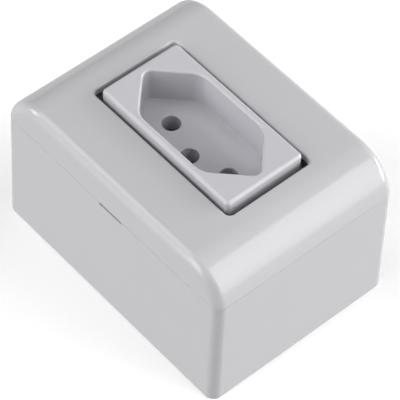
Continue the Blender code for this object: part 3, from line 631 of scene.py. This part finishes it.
@dataclass
class Moulding:
    """A moulding that shows. Its corners low and high are those of its solid."""

    finish: bpy.types.Material
    low: Vector = field(init=False)
    high: Vector = field(init=False)
    piece: Workpiece = field(init=False)

    def build(self) -> bpy.types.Object:
        """Models the moulding in the place of its solid.

        Returns:
            The finished object.
        """
        self._shape()
        self.piece.flatten()
        self._soften()
        return self.piece.dress(self.finish)

    def _shape(self) -> None:
        """Makes the piece with all its parts."""
        raise NotImplementedError

    def _soften(self) -> None:
        """Rounds the edges that the joints and cuts have made."""
        raise NotImplementedError


@dataclass
class CoverShell(Moulding):
    """The clip-on cover: flat top, rolled-over short ends, an opening, a skirt and four hooks."""

    end_radius: float = 10.8 * MM
    end_segments: int = 40
    edge_radius: float = 2.35 * MM
    edge_segments: int = 10
    wall: float = 2.0 * MM
    spare_depth: float = 2.0 * MM
    trim_depth: float = 5.0 * MM
    trim_half: float = 100.0 * MM
    rim_drop: float = 0.1 * MM
    rim_edge: float = 0.1 * MM
    side_gap: float = 1.0 * MM
    end_gap: float = 1.65 * MM
    opening_shift: tuple[float, float] = (0.36 * MM, -0.02 * MM)
    opening_corner: float = 1.45 * MM
    opening_edge: float = 0.6 * MM
    skirt_wall: float = 1.2 * MM
    skirt_depth: float = 3.0 * MM
    skirt_corner: float = 0.7 * MM
    skirt_inner_corner: float = 0.4 * MM
    seat_height: float = 1.7 * MM
    hook_y: float = 17.0 * MM
    hook_width: float = 7.0 * MM
    hook_thickness: float = 1.3 * MM
    hook_setback: float = 0.7 * MM
    lug_reach: float = 0.8 * MM
    lug_height: float = 1.5 * MM
    lug_slope: float = 0.72 * MM
    seam: float = field(init=False)

    def _shape(self) -> None:
        """Makes the cover in the place of its solid."""
        self.low, self.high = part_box("cover")
        self.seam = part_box("surface_box")[1].z + BITE
        self._make_skin()
        self._open_middle()
        self._add_skirt()
        self._add_hooks()

    def _soften(self) -> None:
        """Rounds the rim's outer edge."""
        rim = level(self.seam - self.rim_drop)
        outside = beyond(self.high.x - self.wall / 2, self.high.y - self.wall / 2)
        self.piece.round_edges(self.rim_edge, 2, lambda a, b: rim(a, b) and outside(a, b))

    def _make_skin(self) -> None:
        """Makes the rolled and rounded shell, cut flat just above the box's rim."""
        base = self.seam - self.rim_drop
        centre_z = self.high.z - self.end_radius
        drop = max(self.seam - centre_z, 0.0)
        centre_y = self.high.y - math.sqrt(self.end_radius ** 2 - drop ** 2)
        half_y = centre_y + self.end_radius
        floor = min(base, centre_z) - self.spare_depth
        piece = self.piece = Workpiece.block("clip_on_cover", (self.low.x, -half_y, floor),
                                             (self.high.x, half_y, self.high.z))
        top, side = level(self.high.z), self.high.x - TOUCH
        piece.round_edges(self.end_radius, self.end_segments,
                          lambda a, b: top(a, b) and abs(a.y - b.y) < TOUCH)
        piece.round_edges(self.edge_radius, self.edge_segments,
                          lambda a, b: min(abs(a.x), abs(b.x)) > side and abs(a.x - b.x) < MM
                          and max(a.z, b.z) > floor + TOUCH)
        piece.open_at((0.0, 0.0, -1.0))
        piece.shell(self.wall)
        half = self.trim_half
        piece.cut(Workpiece.block("below_rim", (-half, -half, floor - self.trim_depth), (half, half, base)))

    def _open_middle(self) -> None:
        """Cuts the opening round the module and rounds its upper edge."""
        module, (x, y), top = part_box("socket_body")[1], self.opening_shift, self.high.z
        half_x, half_y = module.x + self.side_gap, module.y + self.end_gap
        self.piece.cut(rounded_block("opening", half_x, half_y, top - 2 * self.wall, top + MM,
                                     self.opening_corner, 10, (x, y)))
        self.piece.flatten()
        self.piece.round_edges(self.opening_edge, 6, lambda a, b: level(top)(a, b) and all(
            abs(p.x - x) < half_x + LEVEL_SLACK and abs(p.y - y) < half_y + LEVEL_SLACK for p in (a, b)))

    def _add_skirt(self) -> None:
        """Adds the ledge inside the rim and the skirt that enters the box."""
        half_x = self.high.x - self.wall - BITE
        half_y = self.high.y - self.wall - BITE
        inner = (half_x - self.skirt_wall, half_y - self.skirt_wall, self.skirt_inner_corner)
        low = self.seam + BITE
        self.piece.join(frame_around("seat", (half_x + 2 * BITE, half_y + 2 * BITE, self.skirt_corner),
                                     inner, low, low + self.seat_height))
        self.piece.join(frame_around("skirt", (half_x, half_y, self.skirt_corner), inner,
                                     self.seam - self.skirt_depth, self.seam + self.seat_height))

    def _add_hooks(self) -> None:
        """Adds the four hooks, each an arm with a lug that slopes towards its tip."""
        outer = self.high.x - self.wall - BITE - self.hook_setback
        reach, half, bottom = outer + self.lug_reach, self.hook_width / 2, self.low.z
        top, foot = self.seam + self.seat_height - BITE, level(bottom)
        for side in SIDES:
            for end in ENDS.values():
                y = end * self.hook_y
                low, high = mirrored(side, outer - self.hook_thickness, outer)
                arm = Workpiece.block("hook", (low, y - half, bottom), (high, y + half, top))
                low, high = mirrored(side, outer - BITE, reach)
                lug = Workpiece.block("lug", (low, y - half, bottom),
                                      (high, y + half, bottom + self.lug_height))
                lug.round_edges(self.lug_slope, 1,
                                lambda a, b: foot(a, b) and min(abs(a.x), abs(b.x)) > reach - TOUCH)
                arm.join(lug)
                self.piece.join(arm)


@dataclass
class WallBox(Moulding):
    """The deep box: drafted walls, screw bosses, catches, knockouts and fixing slots."""

    draft: float = 0.28 * MM
    wall: float = 2.0 * MM
    corner: float = 2.4 * MM
    corner_segments: int = 12
    rim_rise: float = 0.08 * MM
    rim_edge: float = 0.1 * MM
    foot_edge: float = 0.3 * MM
    boss_radius: float = 3.5 * MM
    boss_top: float = 30.0 * MM
    boss_y: float = 27.6 * MM
    pilot_radius: float = 1.7 * MM
    pilot_depth: float = 15.0 * MM
    rib_half: float = 0.8 * MM
    rib_top: float = 28.7 * MM
    slot_y: float = 17.0 * MM
    slot_half_width: float = 2.25 * MM
    slot_half_length: float = 4.5 * MM
    slot_roundness: float = 0.999
    web: float = 0.9 * MM
    score: float = 1.0 * MM
    knockout_radius: float = 8.5 * MM
    side_knockout: tuple[float, float] = (18.0 * MM, 12.0 * MM)
    catch_x: float = 22.47 * MM
    catch_base: float = 26.6 * MM
    catch_height: float = 1.2 * MM
    catch_half: float = 4.5 * MM
    catch_y: float = 17.0 * MM
    pry_half: float = 3.6 * MM
    pry_height: float = 0.5 * MM
    pry_shift: float = -0.4 * MM
    rim: float = field(init=False)
    inner_x: float = field(init=False)
    inner_y: float = field(init=False)

    def _shape(self) -> None:
        """Makes the box in the place of its solid."""
        self.low, self.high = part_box("surface_box")
        self.rim = self.high.z + self.rim_rise
        self.inner_x = self.high.x - self.draft - self.wall
        self.inner_y = self.high.y - self.draft - self.wall
        self._make_tray()
        for end in ENDS.values():
            self._fit_end(end)
        for side in SIDES:
            self._add_catches(side)
            self._cut_side(side)
        ring = Workpiece.rod("score", self.knockout_radius, self.web, self.wall + BITE)
        ring.cut(Workpiece.rod("core", self.knockout_radius - self.score, 0.0, 2 * self.wall))
        self.piece.cut(ring)

    def _soften(self) -> None:
        """Rounds the outer edges of the foot and of the rim, but not at the pry slots."""
        foot, rim, pry_end = level(self.low.z), level(self.rim), self.pry_half - self.pry_shift + TOUCH
        outside = beyond(self.high.x - self.draft - self.wall / 2, self.high.y - self.draft - self.wall / 2)
        self.piece.round_edges(self.foot_edge, 3, lambda a, b: foot(a, b) and outside(a, b))
        self.piece.round_edges(self.rim_edge, 2, lambda a, b: rim(a, b) and outside(a, b)
                               and max(abs(a.y), abs(b.y)) > pry_end)

    def _make_tray(self) -> None:
        """Makes the drafted tray with its round corners and its wall."""
        high = self.high
        self.piece = Workpiece.block("wall_box", self.low, (high.x, high.y, self.rim))
        self.piece.pick_faces((0.0, 0.0, 1.0))
        shrink = ((high.x - self.draft) / high.x, (high.y - self.draft) / high.y, 1.0)
        bpy.ops.transform.resize(value=shrink, center_override=(0.0, 0.0, self.rim))
        self.piece.round_edges(self.corner, self.corner_segments, upright)
        self.piece.open_at((0.0, 0.0, 1.0))
        self.piece.shell(self.wall)

    def _fit_end(self, end: int) -> None:
        """Adds the screw boss of one end, with its rib and pilot hole, and cuts the fixing slot.

        Args:
            end: Which end, 1 or -1.
        """
        place, floor = (0.0, end * self.boss_y), self.wall - BITE
        self.piece.join(Workpiece.rod("boss", self.boss_radius, floor, self.boss_top, place))
        low, high = mirrored(end, self.boss_y, self.inner_y + BITE)
        self.piece.join(Workpiece.block("rib", (-self.rib_half, low, floor),
                                        (self.rib_half, high, self.rib_top)))
        self.piece.cut(Workpiece.rod("pilot", self.pilot_radius, self.boss_top - self.pilot_depth,
                                     self.boss_top + BITE, place, 40))
        radius = self.slot_half_width * self.slot_roundness
        self.piece.cut(rounded_block("slot", self.slot_half_width, self.slot_half_length, -MM,
                                     self.wall + MM, radius, 16, (0.0, end * self.slot_y)))

    def _add_catches(self, side: int) -> None:
        """Adds the two ribs of a long wall that the cover's hooks grip.

        Args:
            side: Which side, 1 or -1.
        """
        low, high = mirrored(side, self.catch_x, self.inner_x + 2 * BITE)
        for end in ENDS.values():
            y = end * self.catch_y
            self.piece.join(Workpiece.block("catch", (low, y - self.catch_half, self.catch_base),
                                            (high, y + self.catch_half, self.catch_base + self.catch_height)))

    def _cut_side(self, side: int) -> None:
        """Cuts the pry slot and the scored knockout of a long wall.

        Args:
            side: Which side, 1 or -1.
        """
        low, high = mirrored(side, self.inner_x - BITE, self.high.x + BITE)
        top, shift = self.high.z, self.pry_shift
        self.piece.cut(Workpiece.block("pry_slot", (low, shift - self.pry_half, top - self.pry_height),
                                       (high, shift + self.pry_half, top + MM)))
        length, height = self.side_knockout
        base = self.wall + 2 * self.score
        low, high = mirrored(side, self.inner_x - BITE, self.high.x - self.draft - self.web)
        groove = Workpiece.block("groove", (low, -length / 2, base), (high, length / 2, base + height))
        groove.round_edges(2 * self.score, 6, crosswise)
        core = Workpiece.block("groove_core", (low - MM, self.score - length / 2, base + self.score),
                               (high + MM, length / 2 - self.score, base + height - self.score))
        core.round_edges(self.score, 6, crosswise)
        groove.cut(core)
        self.piece.cut(groove)


@dataclass
class OutletFace(Moulding):
    """The module's front: rounded block, plug recess, pin holes and hollow underside."""

    corner: float = 1.1 * MM
    corner_segments: int = 10
    edge: float = 0.9 * MM
    edge_segments: int = 8
    wall: float = 1.6 * MM
    flange_reach: float = 1.2 * MM
    flange_base: float = 34.6 * MM
    flange_thickness: float = 1.5 * MM
    clip_half: float = 4.0 * MM
    clip_reach: float = 0.8 * MM
    clip_height: float = 1.4 * MM
    clip_top: float = 30.0 * MM
    land_x: float = 1.85 * MM
    land_y: float = 1.5 * MM
    recess_depth: float = 9.2 * MM
    shoulder_radius: float = 4.5 * MM
    tip_radius: float = 2.0 * MM
    rim_radius: float = 0.55 * MM
    floor_radius: float = 0.3 * MM
    recess_wall: float = 1.5 * MM
    floor_thickness: float = 1.8 * MM
    roof: float = 1.6 * MM
    hollow_corner: float = 0.7 * MM
    hole_radius: float = 2.15 * MM
    hole_edge: float = 0.4 * MM
    collar_radius: float = 3.3 * MM
    collar_depth: float = 2.9 * MM
    boss_radius: float = 2.5 * MM
    pilot_radius: float = 1.3 * MM
    pilot_top: float = 32.3 * MM
    shift: tuple[float, float, float] = (0.21 * MM, -0.17 * MM, 0.0)
    floor: float = field(init=False)
    underside: float = field(init=False)

    def _shape(self) -> None:
        """Makes the face in the place of its solid, as wide and long as the module's body."""
        self.low, self.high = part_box("socket_face")
        self.high = Vector((*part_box("socket_body")[1].xy, self.high.z))
        self.floor = self.high.z - self.recess_depth
        self.underside = self.floor - self.floor_thickness
        self.piece = rounded_block("outlet_face", self.high.x, self.high.y, self.low.z, self.high.z,
                                   self.corner, self.corner_segments)
        self.piece.round_edges(self.edge, self.edge_segments, level(self.high.z))
        self._add_outside()
        self._hollow()
        self._cut_recess()
        self._add_pin_holes()
        self._add_bosses()

    def _soften(self) -> None:
        """Rounds the recess rim and the pin holes' mouths, and shifts the face to its place."""
        top, floor = level(self.high.z), level(self.floor)
        half_x = self.high.x - self.land_x + OUTLINE_SLACK
        tip = self.high.y - self.land_y + OUTLINE_SLACK
        self.piece.round_edges(self.rim_radius, 6, lambda a, b: top(a, b) and all(
            abs(p.x) < half_x and abs(p.x) + abs(p.y) < tip for p in (a, b)))
        reach = self.hole_radius + OUTLINE_SLACK
        for x, y in (pole.value for pole in Pole):
            self.piece.round_edges(self.hole_edge, 5, lambda a, b: floor(a, b) and all(
                math.hypot(p.x - x, p.y - y) < reach for p in (a, b)))
        self.piece.move(self.shift)

    def _add_outside(self) -> None:
        """Adds the flange and the two clips that hold the module in its frame."""
        reach = self.flange_reach
        self.piece.join(rounded_block("flange", self.high.x + reach, self.high.y + reach, self.flange_base,
                                      self.flange_base + self.flange_thickness, self.corner + reach))
        base, tip = self.clip_top - self.clip_height, self.high.y + self.clip_reach
        for end in ENDS.values():
            low, high = mirrored(end, self.high.y - BITE, tip)
            clip = Workpiece.block("clip", (-self.clip_half, low, base),
                                   (self.clip_half, high, self.clip_top))
            clip.round_edges(self.clip_reach, 1,
                             lambda a, b: level(base)(a, b) and min(abs(a.y), abs(b.y)) > tip - TOUCH)
            self.piece.join(clip)

    def _hollow(self) -> None:
        """Hollows the block from below, up to the recess floor and into its four corners."""
        inner_x, inner_y = self.high.x - self.wall, self.high.y - self.wall
        self.piece.cut(rounded_block("cavity", inner_x, inner_y, self.low.z - MM, self.underside,
                                     self.corner / 2))
        corners = rounded_block("corner_hollows", inner_x - BITE, inner_y - BITE, self.underside - BITE,
                                self.high.z - self.roof, self.hollow_corner)
        corners.cut(self._hexagon("recess_wall", self.recess_wall, self.underside - MM, self.high.z))
        self.piece.cut(corners)

    def _hexagon(self, name: str, grow: float, base: float, top: float) -> Workpiece:
        """Makes the elongated hexagon of the plug, with round shoulders and tips.

        Args:
            name: The object's name.
            grow: How far it stands out past the recess, on every side.
            base: Its lower height.
            top: Its upper height.

        Returns:
            The new workpiece.
        """
        half_x = self.high.x - self.land_x + grow
        tip = self.high.y - self.land_y + grow * math.sqrt(2)
        shoulder = tip - half_x
        piece = Workpiece.block(name, (-half_x, -shoulder, base), (half_x, shoulder, top))
        for end in ENDS.values():
            # The end is drawn out and pinched to a line, which makes its two slants
            piece.pick_faces((0.0, end, 0.0))
            bpy.ops.mesh.extrude_region_move(TRANSFORM_OT_translate={"value": (0.0, end * half_x, 0.0)})
            bpy.ops.transform.resize(value=(0.0, 1.0, 1.0), center_override=(0.0, end * tip, 0.0))
            bpy.ops.mesh.select_all(action="SELECT")
            bpy.ops.mesh.remove_doubles(threshold=TOUCH)
        deselect_all()
        piece.round_edges(self.tip_radius + grow, 8, lambda a, b: upright(a, b) and abs(a.x) < TOUCH)
        bend = (self.shoulder_radius + grow) * math.tan(math.pi / 8)
        piece.round_edges(bend, 12, lambda a, b: upright(a, b) and abs(a.x) > half_x - TOUCH)
        return piece

    def _cut_recess(self) -> None:
        """Cuts the plug recess with a softened foot."""
        cutter = self._hexagon("plug_recess", 0.0, self.floor, self.high.z + MM)
        cutter.round_edges(self.floor_radius, 3, level(self.floor))
        self.piece.cut(cutter)

    def _add_pin_holes(self) -> None:
        """Adds the collar of each pin under the floor and drills its hole."""
        for pole in Pole:
            self.piece.join(Workpiece.rod("collar", self.collar_radius, self.underside - self.collar_depth,
                                          self.underside + BITE, pole.value))
            self.piece.cut(Workpiece.rod("pin_hole", self.hole_radius, self.low.z, self.floor + MM,
                                         pole.value))

    def _add_bosses(self) -> None:
        """Adds the two bosses that take the housing screws."""
        reach = self.wall + self.boss_radius - BITE
        for end in ENDS.values():
            place = (reach - self.high.x, end * (self.high.y - reach))
            self.piece.join(Workpiece.rod("boss", self.boss_radius, self.low.z + BITE,
                                          self.high.z - self.roof + BITE, place, 48))
            self.piece.cut(Workpiece.rod("pilot", self.pilot_radius, self.low.z - BITE, self.pilot_top,
                                         place, 32))


@dataclass
class SoftenedPiece:
    """A finer copy of a hidden solid, with its flat faces whole and its sharp edges rounded."""

    node: str
    name: str
    finish: bpy.types.Material
    slot: str
    edge: float
    segments: int = 2
    sharp: float = 40.0

    def build(self, nodes: dict[str, bpy.types.Object]) -> bpy.types.Object:
        """Copies the solid and rounds the copy's edges.

        Args:
            nodes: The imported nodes, by name.

        Returns:
            The finished copy.
        """
        piece = Workpiece.copy_of(nodes[self.node], self.name)
        piece.flatten(1.0)
        piece.modify("BEVEL", width=self.edge, segments=self.segments, limit_method="ANGLE",
                     angle_limit=math.radians(self.sharp), use_clamp_overlap=True)
        return piece.dress(self.finish, self.sharp)


@dataclass
class PanScrew:
    """A pan head screw with a pressed or sawn drive, a rolled thread and a blunt point.

    The shares are of the head's height, of the point, of the pitch and, for the
    cross, of the head's radius.
    """

    kind: str
    finish: bpy.types.Material
    drive: Drive
    way: Way
    shank: float
    length: float
    head: float
    head_height: float
    pitch: float
    plain_length: float = 1.0 * MM
    drive_width: float = 0.7 * MM
    drive_depth: float = 1.0 * MM
    point: float = 0.6 * MM
    steps: int = 24
    crown_share: float = 0.42
    seat_edge_share: float = 0.06
    point_share: float = 0.8
    thread_depth_share: float = 0.45
    thread_bite_share: float = 0.1
    thread_height_share: float = 0.8
    crest_share: float = 0.15
    cross_share: float = 0.68
    cross_taper: float = 0.55

    def build(self) -> bpy.types.Object:
        """Makes the screw with its seat at the origin and its head up.

        Returns:
            The finished pattern.
        """
        piece = Workpiece.rod(self.kind + "_pattern", self.head, 0.0, self.head_height, sides=48)
        piece.round_edges(self.head_height * self.crown_share, 6, level(self.head_height))
        piece.round_edges(self.head_height * self.seat_edge_share, 1, level(0.0))
        root = self.shank - self.pitch * self.thread_depth_share
        rod = Workpiece.rod("shank", root, -self.length, BITE, sides=32)
        rod.round_edges(self.point * self.point_share, 3, level(-self.length))
        piece.join(rod)
        piece.join(self._thread(root))
        self._cut_drive(piece)
        piece.flatten()
        return piece.dress(self.finish, 30.0)

    def _thread(self, root: float) -> Workpiece:
        """Winds the thread's section up the shank.

        Args:
            root: The radius of the shank between the turns.

        Returns:
            The thread as a closed piece.
        """
        deselect_all()
        inner, start = root - self.pitch * self.thread_bite_share, -self.length + self.point + self.pitch
        middle = (inner + self.shank) / 2
        bpy.ops.mesh.primitive_plane_add(size=1.0, rotation=(math.pi / 2, 0.0, 0.0),
                                         location=(middle, 0.0, start))
        thread = Workpiece(bpy.context.active_object)
        thread.obj.scale = (self.shank - inner, self.pitch * self.thread_height_share, 1.0)
        bpy.ops.object.transform_apply(location=True, rotation=True, scale=True)
        thread.pick_edges(lambda a, b: min(a.x, b.x) > middle)
        bpy.ops.transform.resize(value=(1.0, 1.0, self.crest_share), center_override=(self.shank, 0.0, start))
        turns = int((self.length - self.point - self.pitch * 2 - self.plain_length) / self.pitch)
        # Only the section's outline is wound up, so that no wall stays inside the thread
        thread.edit(Pick.FACES)
        bpy.ops.mesh.delete(type="ONLY_FACE")
        thread.modify("SCREW", angle=math.tau, screw_offset=self.pitch, iterations=turns,
                      steps=self.steps, render_steps=self.steps, use_merge_vertices=False)
        thread.edit(Pick.EDGES)
        bpy.ops.mesh.remove_doubles(threshold=TOUCH)
        bpy.ops.mesh.select_all(action="DESELECT")
        bpy.ops.mesh.select_non_manifold()
        bpy.ops.mesh.fill()
        bpy.ops.mesh.select_all(action="SELECT")
        bpy.ops.mesh.normals_make_consistent(inside=False)
        deselect_all()
        return thread

    def _cut_drive(self, piece: Workpiece) -> None:
        """Presses the cross or saws the slot into the head.

        Args:
            piece: The screw.
        """
        half, bottom = self.drive_width / 2, self.head_height - self.drive_depth
        top = self.head_height + MM
        if self.drive is Drive.SLOT:
            piece.cut(Workpiece.block("slot", (-self.head * 2, -half, bottom), (self.head * 2, half, top)))
            return
        reach = self.head * self.cross_share
        for x, y in ((reach, half), (half, reach)):
            wing = Workpiece.block("wing", (-x, -y, bottom), (x, y, top))
            wing.pick_faces((0.0, 0.0, -1.0))
            bpy.ops.transform.resize(value=(self.cross_taper, self.cross_taper, 1.0),
                                     center_override=(0.0, 0.0, bottom))
            deselect_all()
            piece.cut(wing)

    def placed(self, pattern: bpy.types.Object, node: str) -> bpy.types.Object:
        """Copies the finished screw into the place of its solid.

        Args:
            pattern: The screw at the origin.
            node: The solid it stands for.

        Returns:
            The copy.
        """
        piece = Workpiece.copy_of(pattern, "threaded_" + node)
        axis, turn = self.way.value
        if turn:
            piece.edit(Pick.CORNERS)
            bpy.ops.transform.rotate(value=math.radians(turn), orient_axis=axis,
                                     center_override=(0.0, 0.0, 0.0))
            deselect_all()
        low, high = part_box(node)
        corners = [Vector(corner) for corner in piece.obj.bound_box]
        middle = [(min(c[k] for c in corners) + max(c[k] for c in corners)) / 2 for k in range(3)]
        piece.move(tuple((low[k] + high[k]) / 2 - middle[k] for k in range(3)))
        return piece.obj


@dataclass(frozen=True)
class SoftBox:
    """A rectangular soft light that faces the socket from one direction.

    The azimuth, the elevation and the spread, which is how wide and high the light
    looks from the socket, are in degrees.
    """

    name: str
    azimuth: float
    elevation: float
    spread: tuple[float, float]
    radiance: float
    distance: float = 3.0

    def build(self) -> None:
        """Adds the light."""
        width, height = (2 * self.distance * math.tan(math.radians(angle / 2)) for angle in self.spread)
        data = bpy.data.lights.new(self.name, "AREA")
        data.shape = "RECTANGLE"
        data.size, data.size_y = width, height
        data.energy = self.radiance * math.pi * width * height
        light = bpy.data.objects.new(self.name, data)
        turn, rise = math.radians(self.azimuth), math.radians(self.elevation)
        away = Vector((math.cos(turn) * math.cos(rise), math.sin(turn) * math.cos(rise), math.sin(rise)))
        light.location = away * self.distance
        light.rotation_mode = "QUATERNION"
        light.rotation_quaternion = away.to_track_quat("Z", "Y")
        light.visible_camera = False
        bpy.context.scene.collection.objects.link(light)


@dataclass
class Studio:
    """The camera at the photo's angle, the soft boxes, the light off a pale table and a pale floor."""

    camera_place: tuple[float, float, float] = (-0.244964, -0.259477, 0.466692)
    camera_turn: tuple[float, float, float] = (38.3169, -1.8865, -41.1025)
    lens: float = 233.68
    sensor: float = 36.0
    clip: tuple[float, float] = (0.01, 20.0)
    white: str = "#FFFFFF"
    floor_size: float = 8.0
    floor_drop: float = 0.1 * MM
    light_from_above: float = 0.03
    light_from_below: float = 0.68
    horizon: float = 0.01
    soft_boxes: tuple[SoftBox, ...] = (
        SoftBox("near_right_soft_box", -58.0, 36.5, (32.0, 43.0), 3.2, 1.5),
        SoftBox("low_near_right_soft_box", -56.0, 7.5, (38.0, 15.0), 2.4),
        SoftBox("low_right_soft_box", -28.0, 10.0, (44.0, 20.0), 13.0),
        SoftBox("low_far_left_soft_box", 130.0, 22.5, (18.0, 15.0), 9.0),
        SoftBox("far_left_soft_box", 132.0, 43.0, (14.0, 26.0), 2.4),
        SoftBox("high_far_left_soft_box", 116.0, 60.0, (26.0, 14.0), 2.8),
        SoftBox("left_soft_box", 170.0, 30.0, (32.0, 36.0), 4.4),
        SoftBox("high_left_soft_box", 188.0, 42.0, (40.0, 28.0), 0.8),
        SoftBox("low_left_soft_box", 170.0, 7.5, (44.0, 15.0), 2.2),
        SoftBox("high_right_soft_box", 0.0, 38.0, (44.0, 30.0), 0.6),
        SoftBox("overhead_soft_box", 0.0, 88.0, (40.0, 40.0), 1.1),
        SoftBox("fill_soft_box", -133.0, 51.0, (36.0, 34.0), 0.5, 1.2),
    )

    def build(self) -> None:
        """Sets up the whole studio."""
        self._add_camera()
        self._add_floor()
        self._add_surround()
        for soft_box in self.soft_boxes:
            soft_box.build()

    def _add_camera(self) -> None:
        """Adds the camera and makes it the scene's own."""
        data = bpy.data.cameras.new("camera")
        data.lens = self.lens
        data.sensor_width = self.sensor
        data.clip_start, data.clip_end = self.clip
        camera = bpy.data.objects.new("camera", data)
        camera.location = self.camera_place
        camera.rotation_euler = [math.radians(angle) for angle in self.camera_turn]
        bpy.context.scene.collection.objects.link(camera)
        bpy.context.scene.camera = camera

    def _add_floor(self) -> None:
        """Adds the pale floor that the box lies on."""
        deselect_all()
        bpy.ops.mesh.primitive_plane_add(size=self.floor_size, location=(0.0, 0.0, -self.floor_drop))
        floor = bpy.context.active_object
        floor.name = "pale_floor"
        # Matt white board, with almost no gloss
        material = bpy.data.materials.new("pale_matt_floor")
        tree = Tree.emptied(material)
        shader = tree.node("ShaderNodeBsdfPrincipled", {"Base Color": linear_colour(self.white),
                                                        "Roughness": 0.9, "Specular IOR Level": 0.1})
        tree.node("ShaderNodeOutputMaterial", links={"Surface": shader.outputs["BSDF"]})
        floor.data.materials.append(material)
        floor.visible_diffuse = False
        floor.visible_glossy = False
        floor.visible_shadow = False

    def _add_surround(self) -> None:
        """Lights the scene faintly from above, and from below as a pale table does."""
        world = bpy.data.worlds.new("studio_surround")
        tree = Tree.emptied(world)
        way = tree.node("ShaderNodeTexCoord").outputs["Generated"]
        rise = tree.node("ShaderNodeSeparateXYZ", links={"Vector": way}).outputs["Z"]
        strength = tree.mapped(rise, from_min=-self.horizon, from_max=self.horizon,
                               to_min=self.light_from_below, to_max=self.light_from_above)
        glow = tree.node("ShaderNodeBackground", {"Color": linear_colour(self.white)},
                         {"Strength": strength})
        tree.node("ShaderNodeOutputWorld", links={"Surface": glow.outputs["Background"]})
        bpy.context.scene.world = world
        bpy.context.scene.view_settings.view_transform = "Standard"


@dataclass
class InnerWorks:
    """Everything behind the front: frame, module body, contacts, springs, terminals and screws."""

    finishes: Finishes

    def build(self, nodes: dict[str, bpy.types.Object]) -> None:
        """Builds every hidden piece in the place of its solid.

        Args:
            nodes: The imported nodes, by name.
        """
        made = self.finishes
        pieces = [
            SoftenedPiece("mounting_frame", "screwed_down_frame", made.nylon, "frame_nylon", 0.25 * MM, 3),
            SoftenedPiece("socket_body", "module_back", made.thermoset, "body_thermoset", 0.22 * MM)]
        for pole in POLES:
            for node, name, finish, slot, edge in (
                    ("contact", "strip_contact", made.bronze, "contact_bronze", 0.1 * MM),
                    ("contact_spring", "grip_spring", made.spring, "spring_steel", 0.08 * MM),
                    ("terminal", "terminal_block", made.brass, "terminal_brass", 0.2 * MM)):
                pieces.append(SoftenedPiece(f"{pole}_{node}", f"{pole}_{name}", finish, slot, edge))
        for piece in pieces:
            place_new(piece.build(nodes), Body.BOX, piece.node)
        self._add_screws()

    def _add_screws(self) -> None:
        """Makes each kind of screw once and puts its copies in place."""
        zinc = self.finishes.zinc
        frame = PanScrew("frame_screw", zinc, Drive.CROSS, Way.OUT, shank=1.4 * MM, length=13.0 * MM,
                         head=2.9 * MM, head_height=1.9 * MM, pitch=1.0 * MM)
        housing = PanScrew("housing_screw", zinc, Drive.CROSS, Way.BACK, shank=1.0 * MM, length=19.0 * MM,
                           head=1.8 * MM, head_height=1.4 * MM, pitch=0.8 * MM, plain_length=10.0 * MM)
        clamp = PanScrew("terminal_screw", zinc, Drive.SLOT, Way.ASIDE, shank=1.3 * MM, length=2.8 * MM,
                         head=2.2 * MM, head_height=1.9 * MM, pitch=0.5 * MM, plain_length=0.0)
        for screw, stems in ((frame, ENDS), (housing, ENDS), (clamp, POLES)):
            pattern = screw.build()
            for stem in stems:
                node = f"{stem}_{screw.kind}"
                place_new(screw.placed(pattern, node), Body.BOX, node)
            bpy.data.objects.remove(pattern, do_unlink=True)


def place_new(obj: bpy.types.Object, body: Body, node: str) -> None:
    """Puts a new piece in the place of its solid and lets it ride on that solid's body.

    Args:
        obj: The new piece.
        body: The body it rides on.
        node: The solid that it stands for.
    """
    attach(obj, body.value)
    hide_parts(node)
    LOG.info("%s stands for %s, with %d faces", obj.name, node, len(obj.data.polygons))


def main() -> None:
    """Builds every piece in order, then the studio."""
    logging.basicConfig(level=logging.INFO, format="%(message)s")
    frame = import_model()
    finishes = Finishes.mixed()
    InnerWorks(finishes).build(frame["nodes"])
    place_new(WallBox(finishes.shell).build(), Body.BOX, "surface_box")
    place_new(OutletFace(finishes.module).build(), Body.BOX, "socket_face")
    place_new(CoverShell(finishes.shell).build(), Body.COVER, "cover")
    Studio().build()


if __name__ == "__main__":
    main()
